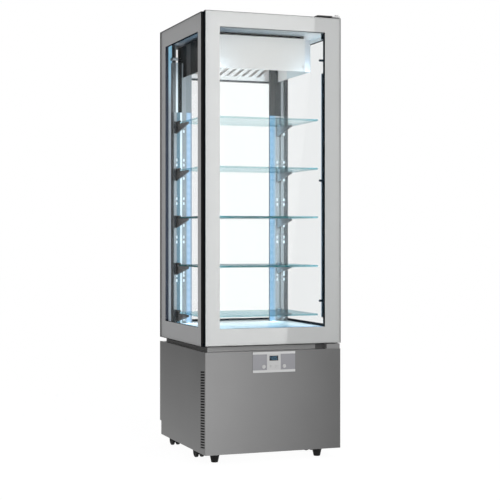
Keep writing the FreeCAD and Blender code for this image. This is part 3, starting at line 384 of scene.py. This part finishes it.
foot_profile = [(0, 0.0), (0.0122, 0.0), (0.0137, 0.0007), (0.0143, 0.0022), (0.0163, 0.0110),
                (0.0160, 0.0116), (0.0162, 0.0132), (0.0169, 0.0140), (0.0187, 0.0220), (0.0184, 0.0226),
                (0.0186, 0.0242), (0.0194, 0.0250), (0.0224, 0.0385), (0.0232, 0.0425), (0.0222, 0.0450),
                (0.0085, 0.0450), (0.0060, 0.0453), (0.0060, 0.0700), (0, 0.0700)]
for side in ("left", "right"):
    low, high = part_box("foot_" + side)
    mesh = turned_mesh("foot_rubber_" + side, foot_profile)
    mesh.transform(Matrix.Translation(((low.x + high.x) / 2, (low.y + high.y) / 2, 0)))
    smooth_by_angle(mesh)
    piece("foot_rubber_" + side, mesh, rubber, "foot_" + side, "black_rubber", "foot_" + side)

# Castors: a swivelling body between twin wheels on a steel axle.
# The wheels are moulded with a rounded tread, a sunk web and a raised boss round the axle.

wheel_profile = [(0, 0.0), (0.0062, 0.0), (0.0070, 0.0008), (0.0072, 0.0022), (0.0168, 0.0026),
                 (0.0178, 0.0008), (0.0190, 0.0), (0.0222, 0.0), (0.0241, 0.0012), (0.0249, 0.0036),
                 (0.0250, 0.0065), (0.0249, 0.0094), (0.0241, 0.0118), (0.0222, 0.0130), (0.0190, 0.0130),
                 (0.0178, 0.0122), (0.0168, 0.0104), (0.0072, 0.0108), (0.0070, 0.0122), (0.0062, 0.0130),
                 (0, 0.0130)]
axle_profile = [(0, 0.0), (0.0036, 0.0), (0.0040, 0.0004), (0.0040, 0.0116), (0.0036, 0.0120), (0, 0.0120)]
wheel_gap = 0.012
wheel_width = 0.013
to_x = Matrix.Rotation(math.pi / 2, 4, "Y")
for corner in ("front_left", "front_right", "rear_left", "rear_right"):
    name = "castor_wheels_" + corner
    low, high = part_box(name)
    middle = (low + high) / 2
    pair = bmesh.new()
    starts = ((-wheel_gap / 2 - wheel_width, wheel_profile), (-wheel_gap / 2, axle_profile),
              (wheel_gap / 2, wheel_profile))
    for start, profile in starts:
        mesh = turned_mesh("turned", profile)
        mesh.transform(Matrix.Translation(middle + Vector((start, 0, 0))) @ to_x)
        pair.from_mesh(mesh)
        bpy.data.meshes.remove(mesh)
    mesh = closed_mesh("twin_wheels_" + corner, pair)
    smooth_by_angle(mesh)
    piece("twin_wheels_" + corner, mesh, rubber, name, "black_rubber", name)
    dress(black_moulding, "castor_body_" + corner)
    soften(0.0008, "castor_body_" + corner)

# Control panel: a brushed grey face plate let into the front panel.
# The controller is a pale moulding with a bar above and below the plate, a dark window and two keys.
# A round button for power and one for the lamps stand beside it.


def pale_moulding_recipe(start):
    place = start.place()
    plate_middle, bar_from = 0.4145, 0.0326
    bar = abs(place.axes()[2] - plate_middle) > bar_from
    grain = place.noise(1800.0, 2.0)
    shade = place.noise(45.0)
    pale = shade.between(grey(0.46), grey(0.51))
    return start.surface(Base_Color=bar.between(pale, grey(0.55)), Roughness=0.34 + shade * 0.1,
                         Normal=grain.raised(0.00005, 0.3))


def face_plate_recipe(start):
    place = start.place()
    grain = place.stretched(4.0, 4.0, 1600.0).noise(1.0, 4.0)
    return start.surface(Base_Color=grain.between(grey(0.185, 0.07), grey(0.228, 0.07)), Metallic=0.35,
                         Roughness=0.36 + grain * 0.1, Normal=grain.raised(0.00002, 0.25))


def window_recipe(start):
    smear = start.place().noise(120.0)
    return start.surface(Base_Color=smear.between((0.004, 0.008, 0.014, 1), (0.008, 0.016, 0.028, 1)),
                         Roughness=0.16 + smear * 0.08, Specular_IOR_Level=0.15)


pale_moulding = finished("pale_moulding", pale_moulding_recipe)
dress(finished("face_plate", face_plate_recipe), "control_plate")
dress(pale_moulding, "controller_module", "key_down")
dress(finished("dark_window", window_recipe), "display_window")
soften(0.0006, "controller_module", "key_down")

button_profile = [(0, 0.0006), (0.0050, 0.0005), (0.0064, 0.0001), (0.0072, 0.0), (0.0077, 0.0004),
                  (0.0080, 0.0013), (0.0080, 0.0140), (0, 0.0140)]
key_profile = [(0, 0.0004), (0.0026, 0.0003), (0.0036, 0.0), (0.0042, 0.0003), (0.0045, 0.0010),
               (0.0045, 0.0140), (0, 0.0140)]
to_y = Matrix.Rotation(-math.pi / 2, 4, "X")
for name, profile in (("button_power", button_profile), ("button_light", button_profile),
                      ("key_set", key_profile)):
    low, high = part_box(name)
    mesh = turned_mesh(name + "_cap", profile)
    mesh.transform(Matrix.Translation(((low.x + high.x) / 2, low.y, (low.z + high.z) / 2)) @ to_y)
    smooth_by_angle(mesh)
    piece(name + "_cap", mesh, pale_moulding, name, "light_plastic", name)

# The display's figures: three seven-segment figures lit in blue, just proud of the window.
# They show a chamber temperature, and a point stands before the last one.


def plate_mesh(made, outline, near, far):
    """Adds a flat plate to a mesh: an outline of (x, z) points, from one depth to another."""
    front = [made.verts.new((x, near, z)) for x, z in outline]
    back = [made.verts.new((x, far, z)) for x, z in outline]
    made.faces.new(front)
    made.faces.new(back[::-1])
    for i in range(len(outline)):
        j = (i + 1) % len(outline)
        made.faces.new((front[j], front[i], back[i], back[j]))


def lit_figure_recipe(start):
    glow = start.place().noise(500.0)
    return start.surface(Base_Color=(0.02, 0.1, 0.2, 1), Roughness=0.3,
                         Emission_Color=glow.between((0.015, 0.1, 0.15, 1), (0.03, 0.15, 0.21, 1)),
                         Emission_Strength=1.0)


window_low, window_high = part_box("display_window")
figure_width, figure_height, figure_pitch = 0.0066, 0.0118, 0.0104
stroke_width, stroke_gap, figure_proud = 0.0011, 0.0003, 0.00008
strokes = {"a": (0.5, 1.0, 0), "b": (1.0, 0.75, 1), "c": (1.0, 0.25, 1), "d": (0.5, 0.0, 0),
           "e": (0.0, 0.25, 1), "f": (0.0, 0.75, 1), "g": (0.5, 0.5, 0)}
lit = ("bcfg", "abcdef", "acdfg")
made = bmesh.new()
figure_face = window_low.y - figure_proud
first_x = (window_low.x + window_high.x) / 2 - figure_pitch - figure_width / 2
base_z = (window_low.z + window_high.z) / 2 - figure_height / 2
for i, letters in enumerate(lit):
    for letter in letters:
        across, up, upright = strokes[letter]
        x = first_x + i * figure_pitch + across * figure_width
        z = base_z + up * figure_height
        long_half = (figure_height / 2 if upright else figure_width) / 2 - stroke_gap
        half = stroke_width / 2
        tip = long_half - half
        shape = [(-long_half, 0), (-tip, half), (tip, half), (long_half, 0), (tip, -half), (-tip, -half)]
        outline = [(x + b, z + a) if upright else (x + a, z + b) for a, b in shape]
        plate_mesh(made, outline, figure_face, window_low.y)
point_x = first_x + 2 * figure_pitch - (figure_pitch - figure_width) / 2
plate_mesh(made, [(point_x + a * stroke_width / 2, base_z + b * stroke_width / 2)
                  for a, b in ((-1, -1), (1, -1), (1, 1), (-1, 1))], figure_face, window_low.y)
mesh = closed_mesh("display_figures", made)
piece("display_figures", mesh, finished("lit_figures", lit_figure_recipe), "cabinet", "display_black")

# Neck between the base and the glass chamber, and the foamed floor and roof of the chamber.
# The neck is a painted plinth set back under the door; painted shade darkens its sides, the strip beside the
# hinge block and its front towards the right, and past the hinge it is lighter.
# The foam slabs have pale painted skins; only the roof's top and the floor's edges are seen.


def foam_skin_recipe(start):
    place = start.place()
    peel = place.noise(420.0, 2.0)
    shade = place.noise(6.0)
    return start.surface(Base_Color=shade.between(grey(0.55), grey(0.62)), Roughness=0.5 + shade * 0.1,
                         Normal=peel.raised(0.0001, 0.25))


def plinth_recipe(start):
    place = start.place()
    peel = place.noise(420.0, 2.0)
    sideways = abs(start.turned().axes()[0])
    across = place.axes()[0]
    hinge_place, hinge_half, past_hinge = 0.2215, 0.0235, 0.23
    # Painted shade: the sides and the strip beside the hinge block are dark, and the front darkens to the
    # right.
    painted_shade_beside_hinge = abs(across - hinge_place) < hinge_half
    dark = (sideways + painted_shade_beside_hinge) > 0.5
    front = (0.5 + across * 1.8).between(grey(0.43), grey(0.29))
    paint = (across > past_hinge).between(front, grey(0.55))
    return start.surface(Base_Color=dark.between(paint, grey(0.09)), Roughness=0.5 + peel * 0.08,
                         Specular_IOR_Level=0.1, Normal=peel.raised(0.0001, 0.25))


dress(finished("plinth_paint", plinth_recipe), "neck_plinth")
dress(finished("foam_skin", foam_skin_recipe), "insulated_floor", "insulated_roof")
soften(0.001, "neck_plinth")

# Lining of the chamber: the display floor and the ceiling, in coated sheet with a fine rolled grain.
# The floor is white, with a painted reflection in blue towards the door that is deeper to the right; the
# ceiling carries a painted highlight, grey-blue at the left and blue-white at the right.


def ceiling_sheet_recipe(start):
    place = start.place()
    grain = place.stretched(900.0, 4.0, 900.0).noise(1.0, 3.0)
    # Painted highlight: the ceiling goes from grey-blue at the left to blue-white at the right.
    painted_light_to_right = (place.axes()[0] * 2.2 + 0.45).held()
    return start.surface(Base_Color=painted_light_to_right.between((0.34, 0.42, 0.5, 1), (0.92, 0.98, 1.0, 1)),
                         Metallic=0.15, Roughness=0.2 + grain * 0.08, Normal=grain.raised(0.00002, 0.2))


def floor_sheet_recipe(start):
    place = start.place()
    grain = place.stretched(900.0, 4.0, 900.0).noise(1.0, 3.0)
    pale = grain.between((0.92, 0.96, 0.98, 1), (0.95, 0.98, 1.0, 1))
    across, depth, _ = place.axes()
    painted_light_to_right = (across * 3.0 + 0.4).held()
    painted_reflection_from, painted_reflection_slant, painted_reflection_rise = -0.03, 0.37, 14.0
    # Painted reflection: blue on the floor towards the door, deeper to the right.
    painted_reflection_to_door = ((painted_reflection_from - across * painted_reflection_slant - depth) * painted_reflection_rise).held()
    painted_reflection = painted_light_to_right.between((0.62, 0.76, 0.86, 1), (0.42, 0.66, 0.92, 1))
    return start.surface(Base_Color=painted_reflection_to_door.between(pale, painted_reflection), Metallic=0.3,
                         Roughness=0.22 + grain * 0.1)


dress(finished("floor_sheet", floor_sheet_recipe), "display_floor")
dress(finished("ceiling_sheet", ceiling_sheet_recipe), "ceiling_liner")

# Insulating glass of the sides and the rear: two clear panes on a frame of four bars.
# The bars show the grey enamel border through the panes, and their own sides are black.
# Cut edges of the panes are arrised, sealed and dark, and the panes stand on a film of sealant.


def glass_slab(made, low, high, arris):
    """Adds a slab of glass with broken edges to a mesh, from corner to corner."""
    middle = Matrix.Translation((low + high) / 2) @ Matrix.Diagonal((*(high - low), 1))
    verts = bmesh.ops.create_cube(made, size=1.0, matrix=middle)["verts"]
    made.edges.index_update()
    edges = sorted({edge for vert in verts for edge in vert.link_edges}, key=lambda edge: edge.index)
    bmesh.ops.bevel(made, geom=edges, offset=arris, segments=2, affect="EDGES", profile=0.5)


def slab_mesh(name, made, thin_axis):
    """Ends a mesh of slabs: its first finish is on the faces, its second on the edges."""
    bmesh.ops.recalc_face_normals(made, faces=made.faces)
    for face in made.faces:
        face.material_index = 0 if abs(face.normal[thin_axis]) > 0.95 else 1
    return closed_mesh(name, made)


def glazed(name, node, body, units, thin_axis, face, edge):
    """Makes the panes of glass units, one at each side of a unit, in place of a CAD node."""
    made = bmesh.new()
    film = Vector((sealant, sealant, sealant))
    for low, high in units:
        for side in (0, 1):
            pane_low, pane_high = low.copy(), high.copy()
            if side:
                pane_low[thin_axis] = high[thin_axis] - pane_glass
            else:
                pane_high[thin_axis] = low[thin_axis] + pane_glass
            glass_slab(made, pane_low + film, pane_high - film, pane_arris)
    thing = piece(name, slab_mesh(name, made, thin_axis), face, body, "clear_glass", node)
    thing.data.materials.append(edge)


def glass_facing(start):
    return start.add("LayerWeight", {}, {"Blend": 0.5}, "Facing")


def glass_gloss(start):
    return start.add("BsdfGlossy", {}, {"Color": (1, 1, 1, 1), "Roughness": 0.0})


def glass_passing(start, colour):
    return start.add("BsdfTransparent", {}, {"Color": colour})


def pane_recipe(passed, shine):
    def recipe(start):
        gloss_share = 0.05 * shine + shine * glass_facing(start) ** 5
        return gloss_share.mixed_shader(glass_passing(start, passed), glass_gloss(start))
    return recipe


def sealed_edge_recipe(start):
    wave = start.place().noise(60.0)
    return start.surface(Base_Color=wave.between((0.002, 0.003, 0.003, 1), (0.004, 0.006, 0.006, 1)),
                         Roughness=0.6 + wave * 0.1, Specular_IOR_Level=0.0)


def border_recipe(thin_axis, low, high, rough, coat, painted_shade_foot=0.0, painted_glow_strength=0.0):
    """Grey enamel on the broad faces of bars, black on their sides, and black inside up to a foot as painted
    shade; painted shade darkens the enamel towards the bottom, inward faces of top bars at the right are
    near white and may glow as painted light, and a painted highlight lightens the black of the left rear
    stile.
    """
    def recipe(start):
        place = start.place()
        axes = place.axes()
        across, depth, height = axes
        faced = start.turned().axes()[thin_axis]
        peel = place.noise(260.0, 2.0)
        shade = place.noise(2.5, 2.0)
        inner = faced * axes[thin_axis] < 0
        # Painted shade: inward faces below the foot are black, like the bars' own black sides.
        spacer_and_painted_shade = (inner * (height < painted_shade_foot) + (abs(faced) < 0.5)) > 0.5
        # Painted shade: the enamel darkens towards the bottom of the glass.
        tone = 0.8 * (height - glass_foot) / glass_height + 0.2 * shade
        # Painted light: inward faces of top bars at the right are near white, and on the side glass they
        # glow though no lamp is there.
        painted_glow_top_bar = inner * (height > top_bar_foot) * (across > 0)
        glow = painted_glow_top_bar.between(grey(0.0), (0.3, 0.33, 0.35, 1))
        enamel = start.surface(Base_Color=painted_glow_top_bar.between(tone.between(low, high), grey(0.95)),
                               Roughness=rough + peel * 0.08, Coat_Weight=coat, Coat_Roughness=0.02,
                               Emission_Color=glow, Emission_Strength=painted_glow_strength)
        # Painted highlight: on the left rear stile the black is lighter and bluish above the foot.
        painted_highlight_stile = (across < 0) * (depth > rear_stile_from) * (height > painted_highlight_from)
        dark = painted_highlight_stile.between((0.008, 0.011, 0.016, 1), (0.06, 0.065, 0.082, 1))
        black = start.surface(Base_Color=dark, Roughness=1.0, Specular_IOR_Level=0.0)
        return spacer_and_painted_shade.mixed_shader(enamel, black)
    return recipe


pane_glass = 0.005
pane_arris = 0.0005
sealant = 0.0001
glass_foot, glass_height = 0.486, 1.366
bottom_bar_top, top_bar_foot = 0.5562, 1.76
rear_stile_from, painted_highlight_from = 0.2, 0.56
pane = finished("clear_pane", pane_recipe((0.993, 0.997, 0.996, 1), 0.06))
side_pane = finished("side_pane", pane_recipe((0.962, 0.963, 0.965, 1), 0.015))
sealed_edge = finished("sealed_edge", sealed_edge_recipe)
side_border = border_recipe(0, grey(0.54), grey(0.54), 0.42, 0.0, bottom_bar_top, 1.0)
rear_border = border_recipe(1, grey(0.42), grey(0.45), 0.42, 0.0, bottom_bar_top)
dress(finished("side_border", side_border), "side_frames")
dress(finished("rear_border", rear_border), "rear_frame")
low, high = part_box("side_panes")
unit_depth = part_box("side_frames")[1].x + pane_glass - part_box("rear_panes")[1].x
left_unit = (low, Vector((low.x + unit_depth, high.y, high.z)))
right_unit = (Vector((high.x - unit_depth, low.y, low.z)), high)
glazed("side_glass", "side_panes", "cabinet", (left_unit, right_unit), 0, side_pane, sealed_edge)
glazed("rear_glass", "rear_panes", "cabinet", (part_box("rear_panes"),), 1, pane, sealed_edge)

# Rear corner posts, slotted uprights and shelf brackets, in satin stainless steel; the posts and uprights
# carry painted highlights and shade.
# The left post hides the suction line, and each bracket is a flanged plate hooked into its folded upright.
# A white strip stands behind the slots of each upright and passes on the light of the lamp beside it.


def post_recipe(start):
    place = start.place()
    grain = place.stretched(1300.0, 1300.0, 3.0).noise(1.0, 4.0)
    across, _, height = place.axes()
    post_middle, painted_glow_from = 0.2605, 1.5
    # Painted highlight and shade: the outer half of each post is pale and the inner half dark; near the top
    # the outer half turns blue and glows, though no lamp is there.
    painted_lit_half = abs(across) > post_middle
    painted_glow_near_top = ((height - painted_glow_from) * 4.0).held()
    lit = painted_glow_near_top.between((0.82, 0.83, 0.86, 1), (0.7, 0.9, 1.0, 1))
    steel = painted_lit_half.between(grey(0.05), lit)
    glow = (painted_glow_near_top * painted_lit_half).between(grey(0.0), (0.12, 0.3, 0.42, 1))
    return start.surface(Base_Color=(grain * 0.2).between(steel, grey(0.12)), Metallic=0.3,
                         Roughness=0.3 + grain * 0.14, Normal=grain.raised(0.00003, 0.2),
                         Emission_Color=glow, Emission_Strength=1.0)


def upright_recipe(start):
    place = start.place()
    across, _, height = place.axes()
    side = abs(across)
    grain = place.stretched(1300.0, 1300.0, 3.0).noise(1.0, 4.0)
    # Painted highlights and shade: light, dark and blue bands across each upright and a line at its fold,
    # differing between left and right and above and below the lamps.
    left = across < 0
    fold_place, fold_half, left_wider = 0.2372, 0.0027, 0.0019
    fold_line = abs(side - fold_place) < fold_half + left * left_wider
    fold = left.between(grey(0.06), grey(1.0))
    left_fold, left_middle, left_edge, right_middle = 0.237, 0.2572, 0.2695, 0.2555
    left_rim = (side > left_edge).between(grey(0.43), grey(0.1))
    left_band = (side > left_middle).between((0.18, 0.27, 0.32, 1), left_rim)
    left_inner = (side > left_fold).between(grey(0.38), left_band)
    right_band = (side > right_middle).between(grey(0.43), grey(0.12))
    painted_light_lower = fold_line.between(left.between(right_band, left_inner), fold)
    bright_middle, bright_half = 0.2475, 0.0065
    right_plain = (abs(side - bright_middle) < bright_half).between(grey(0.04), grey(0.3))
    dark_from, white_from, grey_from = 0.2335, 0.2516, 0.2616
    left_dark = (side > dark_from).between(grey(0.4), grey(0.015))
    left_line = (side > grey_from).between(grey(1.0), grey(0.22))
    left_plain = (side > white_from).between(left_dark, left_line)
    steel = (height > lamp_top).between(painted_light_lower, left.between(right_plain, left_plain))
    worn = (grain * 0.2).between(steel, grey(0.1))
    return start.surface(Base_Color=worn, Metallic=0.15, Roughness=0.38 + grain * 0.14,
                         Specular_IOR_Level=0.12, Normal=grain.raised(0.00003, 0.2))


def bracket_recipe(start):
    place = start.place()
    grain = place.stretched(3.0, 1300.0, 1300.0).noise(1.0, 4.0)
    return start.surface(Base_Color=grain.between(grey(0.06), grey(0.1)), Metallic=0.4,
                         Roughness=0.34 + grain * 0.14, Normal=grain.raised(0.00003, 0.2))


def liner_recipe(start):
    shade = start.place().noise(30.0)
    return start.surface(Base_Color=shade.between(grey(0.6), grey(0.7)), Roughness=0.5,
                         Emission_Color=shade.between((0.5, 0.6, 0.66, 1), (0.6, 0.7, 0.76, 1)),
                         Emission_Strength=1.0)


lamp_top = 1.485
dress(finished("post_steel", post_recipe), "corner_posts")
dress(finished("bracket_steel", bracket_recipe), "shelf_brackets")
dress(finished("upright_steel", upright_recipe), "slotted_uprights")
soften(0.0006, "shelf_brackets")
upright_low, upright_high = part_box("slotted_uprights")
channel_sheet, channel_width, liner_gap, liner_thickness = 0.002, 0.062, 0.010, 0.0015
made = bmesh.new()
for side in (-1, 1):
    outer = side * (upright_high.x - channel_sheet)
    inner = side * (upright_high.x - channel_width + channel_sheet)
    liner_low = Vector((min(outer, inner), upright_low.y + liner_gap, upright_low.z))
    liner_high = Vector((max(outer, inner), liner_low.y + liner_thickness, upright_high.z))
    glass_slab(made, liner_low, liner_high, sealant)
mesh = closed_mesh("slot_liners", made)
piece("slot_liners", mesh, finished("slot_liner", liner_recipe), "cabinet", "lamp_diffuser")

# Lamps: slim dark housings with a milky cover over a strip of light sources.
# The rear pair lights the shelves from beside the uprights, the front pair from behind the door's stiles.
# Behind the cover each source shows as a brighter patch.


def lamp_cover_recipe(start):
    place = start.place()
    across, depth, height = place.axes()
    side = abs(across)
    source_pitch, cover_middle, lip_from, lip_edge = 0.033, 0.2015, 0.205, 0.21
    spot = 1 - abs((height % source_pitch) / source_pitch - 0.5) * 2
    plain = spot.between((0.15, 0.3, 0.45, 1), (0.24, 0.41, 0.58, 1))
    bright = spot.between((0.34, 0.52, 0.72, 1), (0.42, 0.6, 0.8, 1))
    middle = (1.7 - abs(side - cover_middle) * 136.0).held()
    left_rear = middle.between((0.26, 0.3, 0.35, 1), bright)
    lip = (side > lip_edge).between((0.2, 0.32, 0.42, 1), (0.33, 0.43, 0.52, 1))
    right_rear = (side > lip_from).between(plain, lip)
    rear = (across < 0).between(right_rear, left_rear)
    return start.surface(Base_Color=(0.06, 0.1, 0.14, 1), Roughness=0.4, Emission_Strength=1.0,
                         Emission_Color=(depth > 0).between(plain, rear))


def lamp_housing_recipe(start):
    place = start.place()
    across, depth, height = place.axes()
    shade = place.noise(12.0)
    navy = shade.between((0.014, 0.032, 0.052, 1), (0.02, 0.042, 0.066, 1))
    # Painted highlight: above the lamps the left rear housing is pale grey, where the right one stays dark.
    painted_light_upper = (across < 0).between((0.056, 0.052, 0.05, 1), grey(0.3))
    above_lamp = (depth > 0) * (height > lamp_top)
    return start.surface(Base_Color=above_lamp.between(navy, painted_light_upper), Roughness=0.36 + shade * 0.1,
                         Specular_IOR_Level=0.3)


dress(finished("dark_anodised", lamp_housing_recipe), "lamp_housings")
dress(finished("lamp_cover", lamp_cover_recipe), "lamp_covers")
front_cover, rear_gap = 0.007, 0.004
front_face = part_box("lamp_covers")[0].y + front_cover
rear_face = upright_low.y - rear_gap
lamp_strips = ((0.2005, rear_face, (0.547, lamp_top), -1), (0.251, front_face, (0.59, 1.625), 1))
strip_width = 0.014
watts = 2.6
for across, depth, (foot, head), facing in lamp_strips:
    for side in (-1, 1):
        glow = bpy.data.lights.new("chamber_lamp", "AREA")
        glow.shape = "RECTANGLE"
        glow.size, glow.size_y = strip_width, head - foot
        glow.energy = watts
        glow.color = (0.62, 0.84, 1.0)
        strip = bpy.data.objects.new("chamber_lamp", glow)
        strip.location = (side * across, depth, (foot + head) / 2)
        strip.rotation_euler = (facing * math.pi / 2, 0, 0)
        strip.visible_camera = False
        strip.visible_glossy = False
        bpy.context.scene.collection.objects.link(strip)
soften(0.0008, "lamp_housings")

# Five shelves of clear float glass with ground and polished edges.
# Looked at along its face the glass is green-blue, and its edges gather that colour; how deeply the edges
# show it is painted light, deepest at eye height and paler to the right.
# They lie loose on the flanges of the brackets.


def shelf_face_recipe(start):
    facing = glass_facing(start)
    clear = glass_passing(start, (0.95, 0.985, 0.98, 1))
    deep = glass_passing(start, (0.48, 0.66, 0.71, 1))
    glass_top = 1.85
    low_down = (glass_top - start.place().axes()[2]).held()
    seen_through = (facing ** 2 * low_down).mixed_shader(clear, deep)
    return (0.03 + 0.3 * facing ** 5).mixed_shader(seen_through, glass_gloss(start))


def shelf_edge_recipe(start):
    place = start.place()
    wave = place.noise(35.0)
    edge = start.surface(Base_Color=wave.between((0.004, 0.09, 0.1, 1), (0.01, 0.13, 0.14, 1)),
                         Roughness=0.2, Specular_IOR_Level=0.04)
    clear = glass_passing(start, (0.78, 0.9, 0.92, 1))
    across, _, height = place.axes()
    painted_deepest_at, painted_paler_from = 0.93, 0.1
    # Painted light: the edges' colour is deepest at the camera's eye height, 0.93 m, and paler to the right.
    painted_edge_depth = (1.6 - abs(height - painted_deepest_at) * 5.0).held(0.2, 0.92)
    painted_light_to_right = ((across - painted_paler_from) * 8.0).held()
    filled = painted_edge_depth + (0.4 - painted_edge_depth) * painted_light_to_right
    return (filled - wave * 0.08).mixed_shader(clear, edge)


shelf_low, shelf_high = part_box("glass_shelves")
shelf_count = 5
shelf_thickness = 0.008
shelf_arris = 0.0008
shelf_pitch = (shelf_high.z - shelf_low.z - shelf_thickness) / (shelf_count - 1)
bed = Vector((0, 0, sealant))
made = bmesh.new()
for i in range(shelf_count):
    low = Vector((shelf_low.x, shelf_low.y, shelf_low.z + i * shelf_pitch))
    high = Vector((shelf_high.x, shelf_high.y, low.z + shelf_thickness))
    glass_slab(made, low + bed, high - bed, shelf_arris)
mesh = slab_mesh("shelf_glass", made, 2)
shelf_face = finished("shelf_face", shelf_face_recipe)
piece("shelf_glass", mesh, shelf_face, "cabinet", "clear_glass", "glass_shelves")
mesh.materials.append(finished("shelf_edge", shelf_edge_recipe))

# Cooler under the ceiling: a housing folded from pale coated sheet, bevelled at the front corners.
# Its ends are black outside, and the collar that joins it to the ceiling is black, both as painted shade; a
# painted reflection band runs along the ends, and painted shade darkens the sheet to the right.
# The fan draws air up through a sunk deck, and a duct with slanted slots runs along the rear wall.


def cooler_recipe(start):
    place = start.place()
    across, depth, height = place.axes()
    sideways = abs(start.turned().axes()[0])
    painted_shade_end_from, painted_band_middle, painted_band_half = 0.2275, 0.128, 0.029
    collar_foot, duct_from, dark_strip_from, dark_strip_top = 1.7805, 0.1, 0.255, 1.647
    # Painted shade: the ends and the collar are black, with a lighter band along the ends as a painted
    # reflection, and the sheet darkens to the right.
    ends = abs(across) > painted_shade_end_from
    painted_reflection_band = abs(depth - painted_band_middle) < painted_band_half
    bevel = (sideways > 0.3) * (sideways < 0.95)
    collar = height > collar_foot
    # A dark grey strip along the rear foot of the housing, below 1.647 m and behind 0.255 m.
    dark_rear_strip = (depth > dark_strip_from) * (height < dark_strip_top)
    peel = place.noise(420.0, 2.0)
    shade = place.noise(6.0)
    sheet = (0.4 + shade * 0.2 - across * 1.6).between((0.7, 0.67, 0.65, 1), (0.82, 0.79, 0.77, 1))
    long_sides = (depth > duct_from).between(sheet, (0.95, 0.84, 0.79, 1))
    skin = bevel.between(long_sides, (0.72, 0.72, 0.74, 1))
    with_dark_strip = dark_rear_strip.between(skin, grey(0.1))
    dark = (ends * painted_reflection_band).between(grey(0.005), grey(0.1))
    coat = (ends + collar).between(with_dark_strip, dark)
    return start.surface(Base_Color=coat, Roughness=0.36 + shade * 0.1, Specular_IOR_Level=0.05,
                         Normal=peel.raised(0.0001, 0.2))


dress(finished("cooler_coat", cooler_recipe), "evaporator_housing")

# Dark frame round the front opening, which the door's gasket closes on.
# The frame is a dark extruded section, and the gasket is a black rubber strip pushed into the door.

front_section = finished("front_section", moulding_recipe(grey(0.004), grey(0.008), 0.6, 0.03))
gasket_rubber = finished("gasket_rubber", moulding_recipe(grey(0.003), grey(0.006), 0.7, 0.02))
dress(front_section, "front_frame")
dress(gasket_rubber, "door_gasket")
soften(0.001, "front_frame")

# Door: an insulating glass unit of the same make, with a glossier grey enamel border.
# Its edge is sealed with a black band all round, and plastic bushes sit at its pins.

# Painted shade: the door's border darkens towards the bottom.
dress(finished("door_border", border_recipe(1, grey(0.41), grey(0.49), 0.3, 1.0)), "door_frame")
glazed("door_glass", "door_panes", "door", (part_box("door_panes"),), 1, pane, sealed_edge)
dress(finished("bush_plastic", moulding_recipe(grey(0.5), grey(0.6), 0.4)), "door_bushes")

# Hinge brackets: a plate with its pin on the roof, and a block with its pin on the base.
# The block is plated steel, painted lighter on its sides than on its front as light and shade; the plate is
# black, and its end over the pin has a pale cap.


def hinge_recipe(start):
    place = start.place()
    across, _, height = place.axes()
    wear = place.noise(90.0)
    cap_from, half_height = 0.262, 1.0
    sideways = abs(start.turned().axes()[0]) > 0.5
    # Painted light and shade: the block's sides are lighter than its front.
    painted_light_block = sideways.between(wear.between(grey(0.15), grey(0.19)), wear.between(grey(0.4), grey(0.46)))
    plate = wear.between(grey(0.012), grey(0.03))
    cap = wear.between(grey(0.5), grey(0.58))
    top = (across > cap_from).between(plate, cap)
    return start.surface(Base_Color=(height > half_height).between(painted_light_block, top), Metallic=0.3,
                         Roughness=0.36 + wear * 0.12)


dress(finished("hinge_plating", hinge_recipe), "hinge_bracket_top", "hinge_bracket_bottom")
soften(0.0012, "hinge_bracket_top", "hinge_bracket_bottom")

# Studio: a white floor and background, one large soft lamp in front and an even fill.
# The camera stands where the photograph was taken, level with the middle shelf.


def seen_rays(start):
    """Rays that show the background as it is: to the camera, in a mirror or through glass."""
    path = start.add("LightPath").socket.node.outputs
    camera_ray, glossy_ray, passed_ray = (
        Finish(start.tree, path[name]) for name in ("Is Camera Ray", "Is Glossy Ray", "Is Transmission Ray"))
    return camera_ray + glossy_ray + passed_ray > 0.5


def floor_recipe(start):
    plain = start.add("BsdfDiffuse", {}, {"Color": grey(0.85)})
    white = start.add("Emission", {}, {"Color": grey(1.0), "Strength": 1.1})
    return (seen_rays(start) * 0.86).mixed_shader(plain, white)


made = bmesh.new()
bmesh.ops.create_grid(made, x_segments=1, y_segments=1, size=30.0)
mesh = closed_mesh("studio_floor", made)
mesh.materials.append(finished("studio_floor", floor_recipe))
studio_floor = bpy.data.objects.new("studio_floor", mesh)
bpy.context.scene.collection.objects.link(studio_floor)

world = bpy.data.worlds.new("studio")
world.use_nodes = True
world.node_tree.nodes.clear()
bpy.context.scene.world = world
air = Finish(world.node_tree)
fill = air.add("Background", {}, {"Color": grey(1.0), "Strength": 0.45})
white = air.add("Background", {}, {"Color": grey(1.0), "Strength": 1.0})
air.add("OutputWorld", {}, {"Surface": seen_rays(air).mixed_shader(fill, white)})

lamp = bpy.data.lights.new("front_softbox", "AREA")
lamp.shape = "RECTANGLE"
lamp.size, lamp.size_y = 1.9, 2.8
lamp.energy = 54.0
softbox = bpy.data.objects.new("front_softbox", lamp)
softbox.location = (0.419, -3.3, 1.43)
softbox.rotation_euler = (math.pi / 2, math.radians(5.46), 0)
softbox.visible_camera = False
bpy.context.scene.collection.objects.link(softbox)

lens = bpy.data.cameras.new("camera")
lens.sensor_width = 36.0
lens.lens = 93.1
lens.shift_y = -0.0268
camera = bpy.data.objects.new("camera", lens)
camera.location = (-1.957, -5.298, 0.9325)
camera.rotation_euler = (math.pi / 2, 0, -math.radians(20.4))
bpy.context.scene.collection.objects.link(camera)
bpy.context.scene.camera = camera
bpy.context.scene.view_settings.view_transform = "Standard"
bpy.context.scene.cycles.transparent_max_bounces = 48
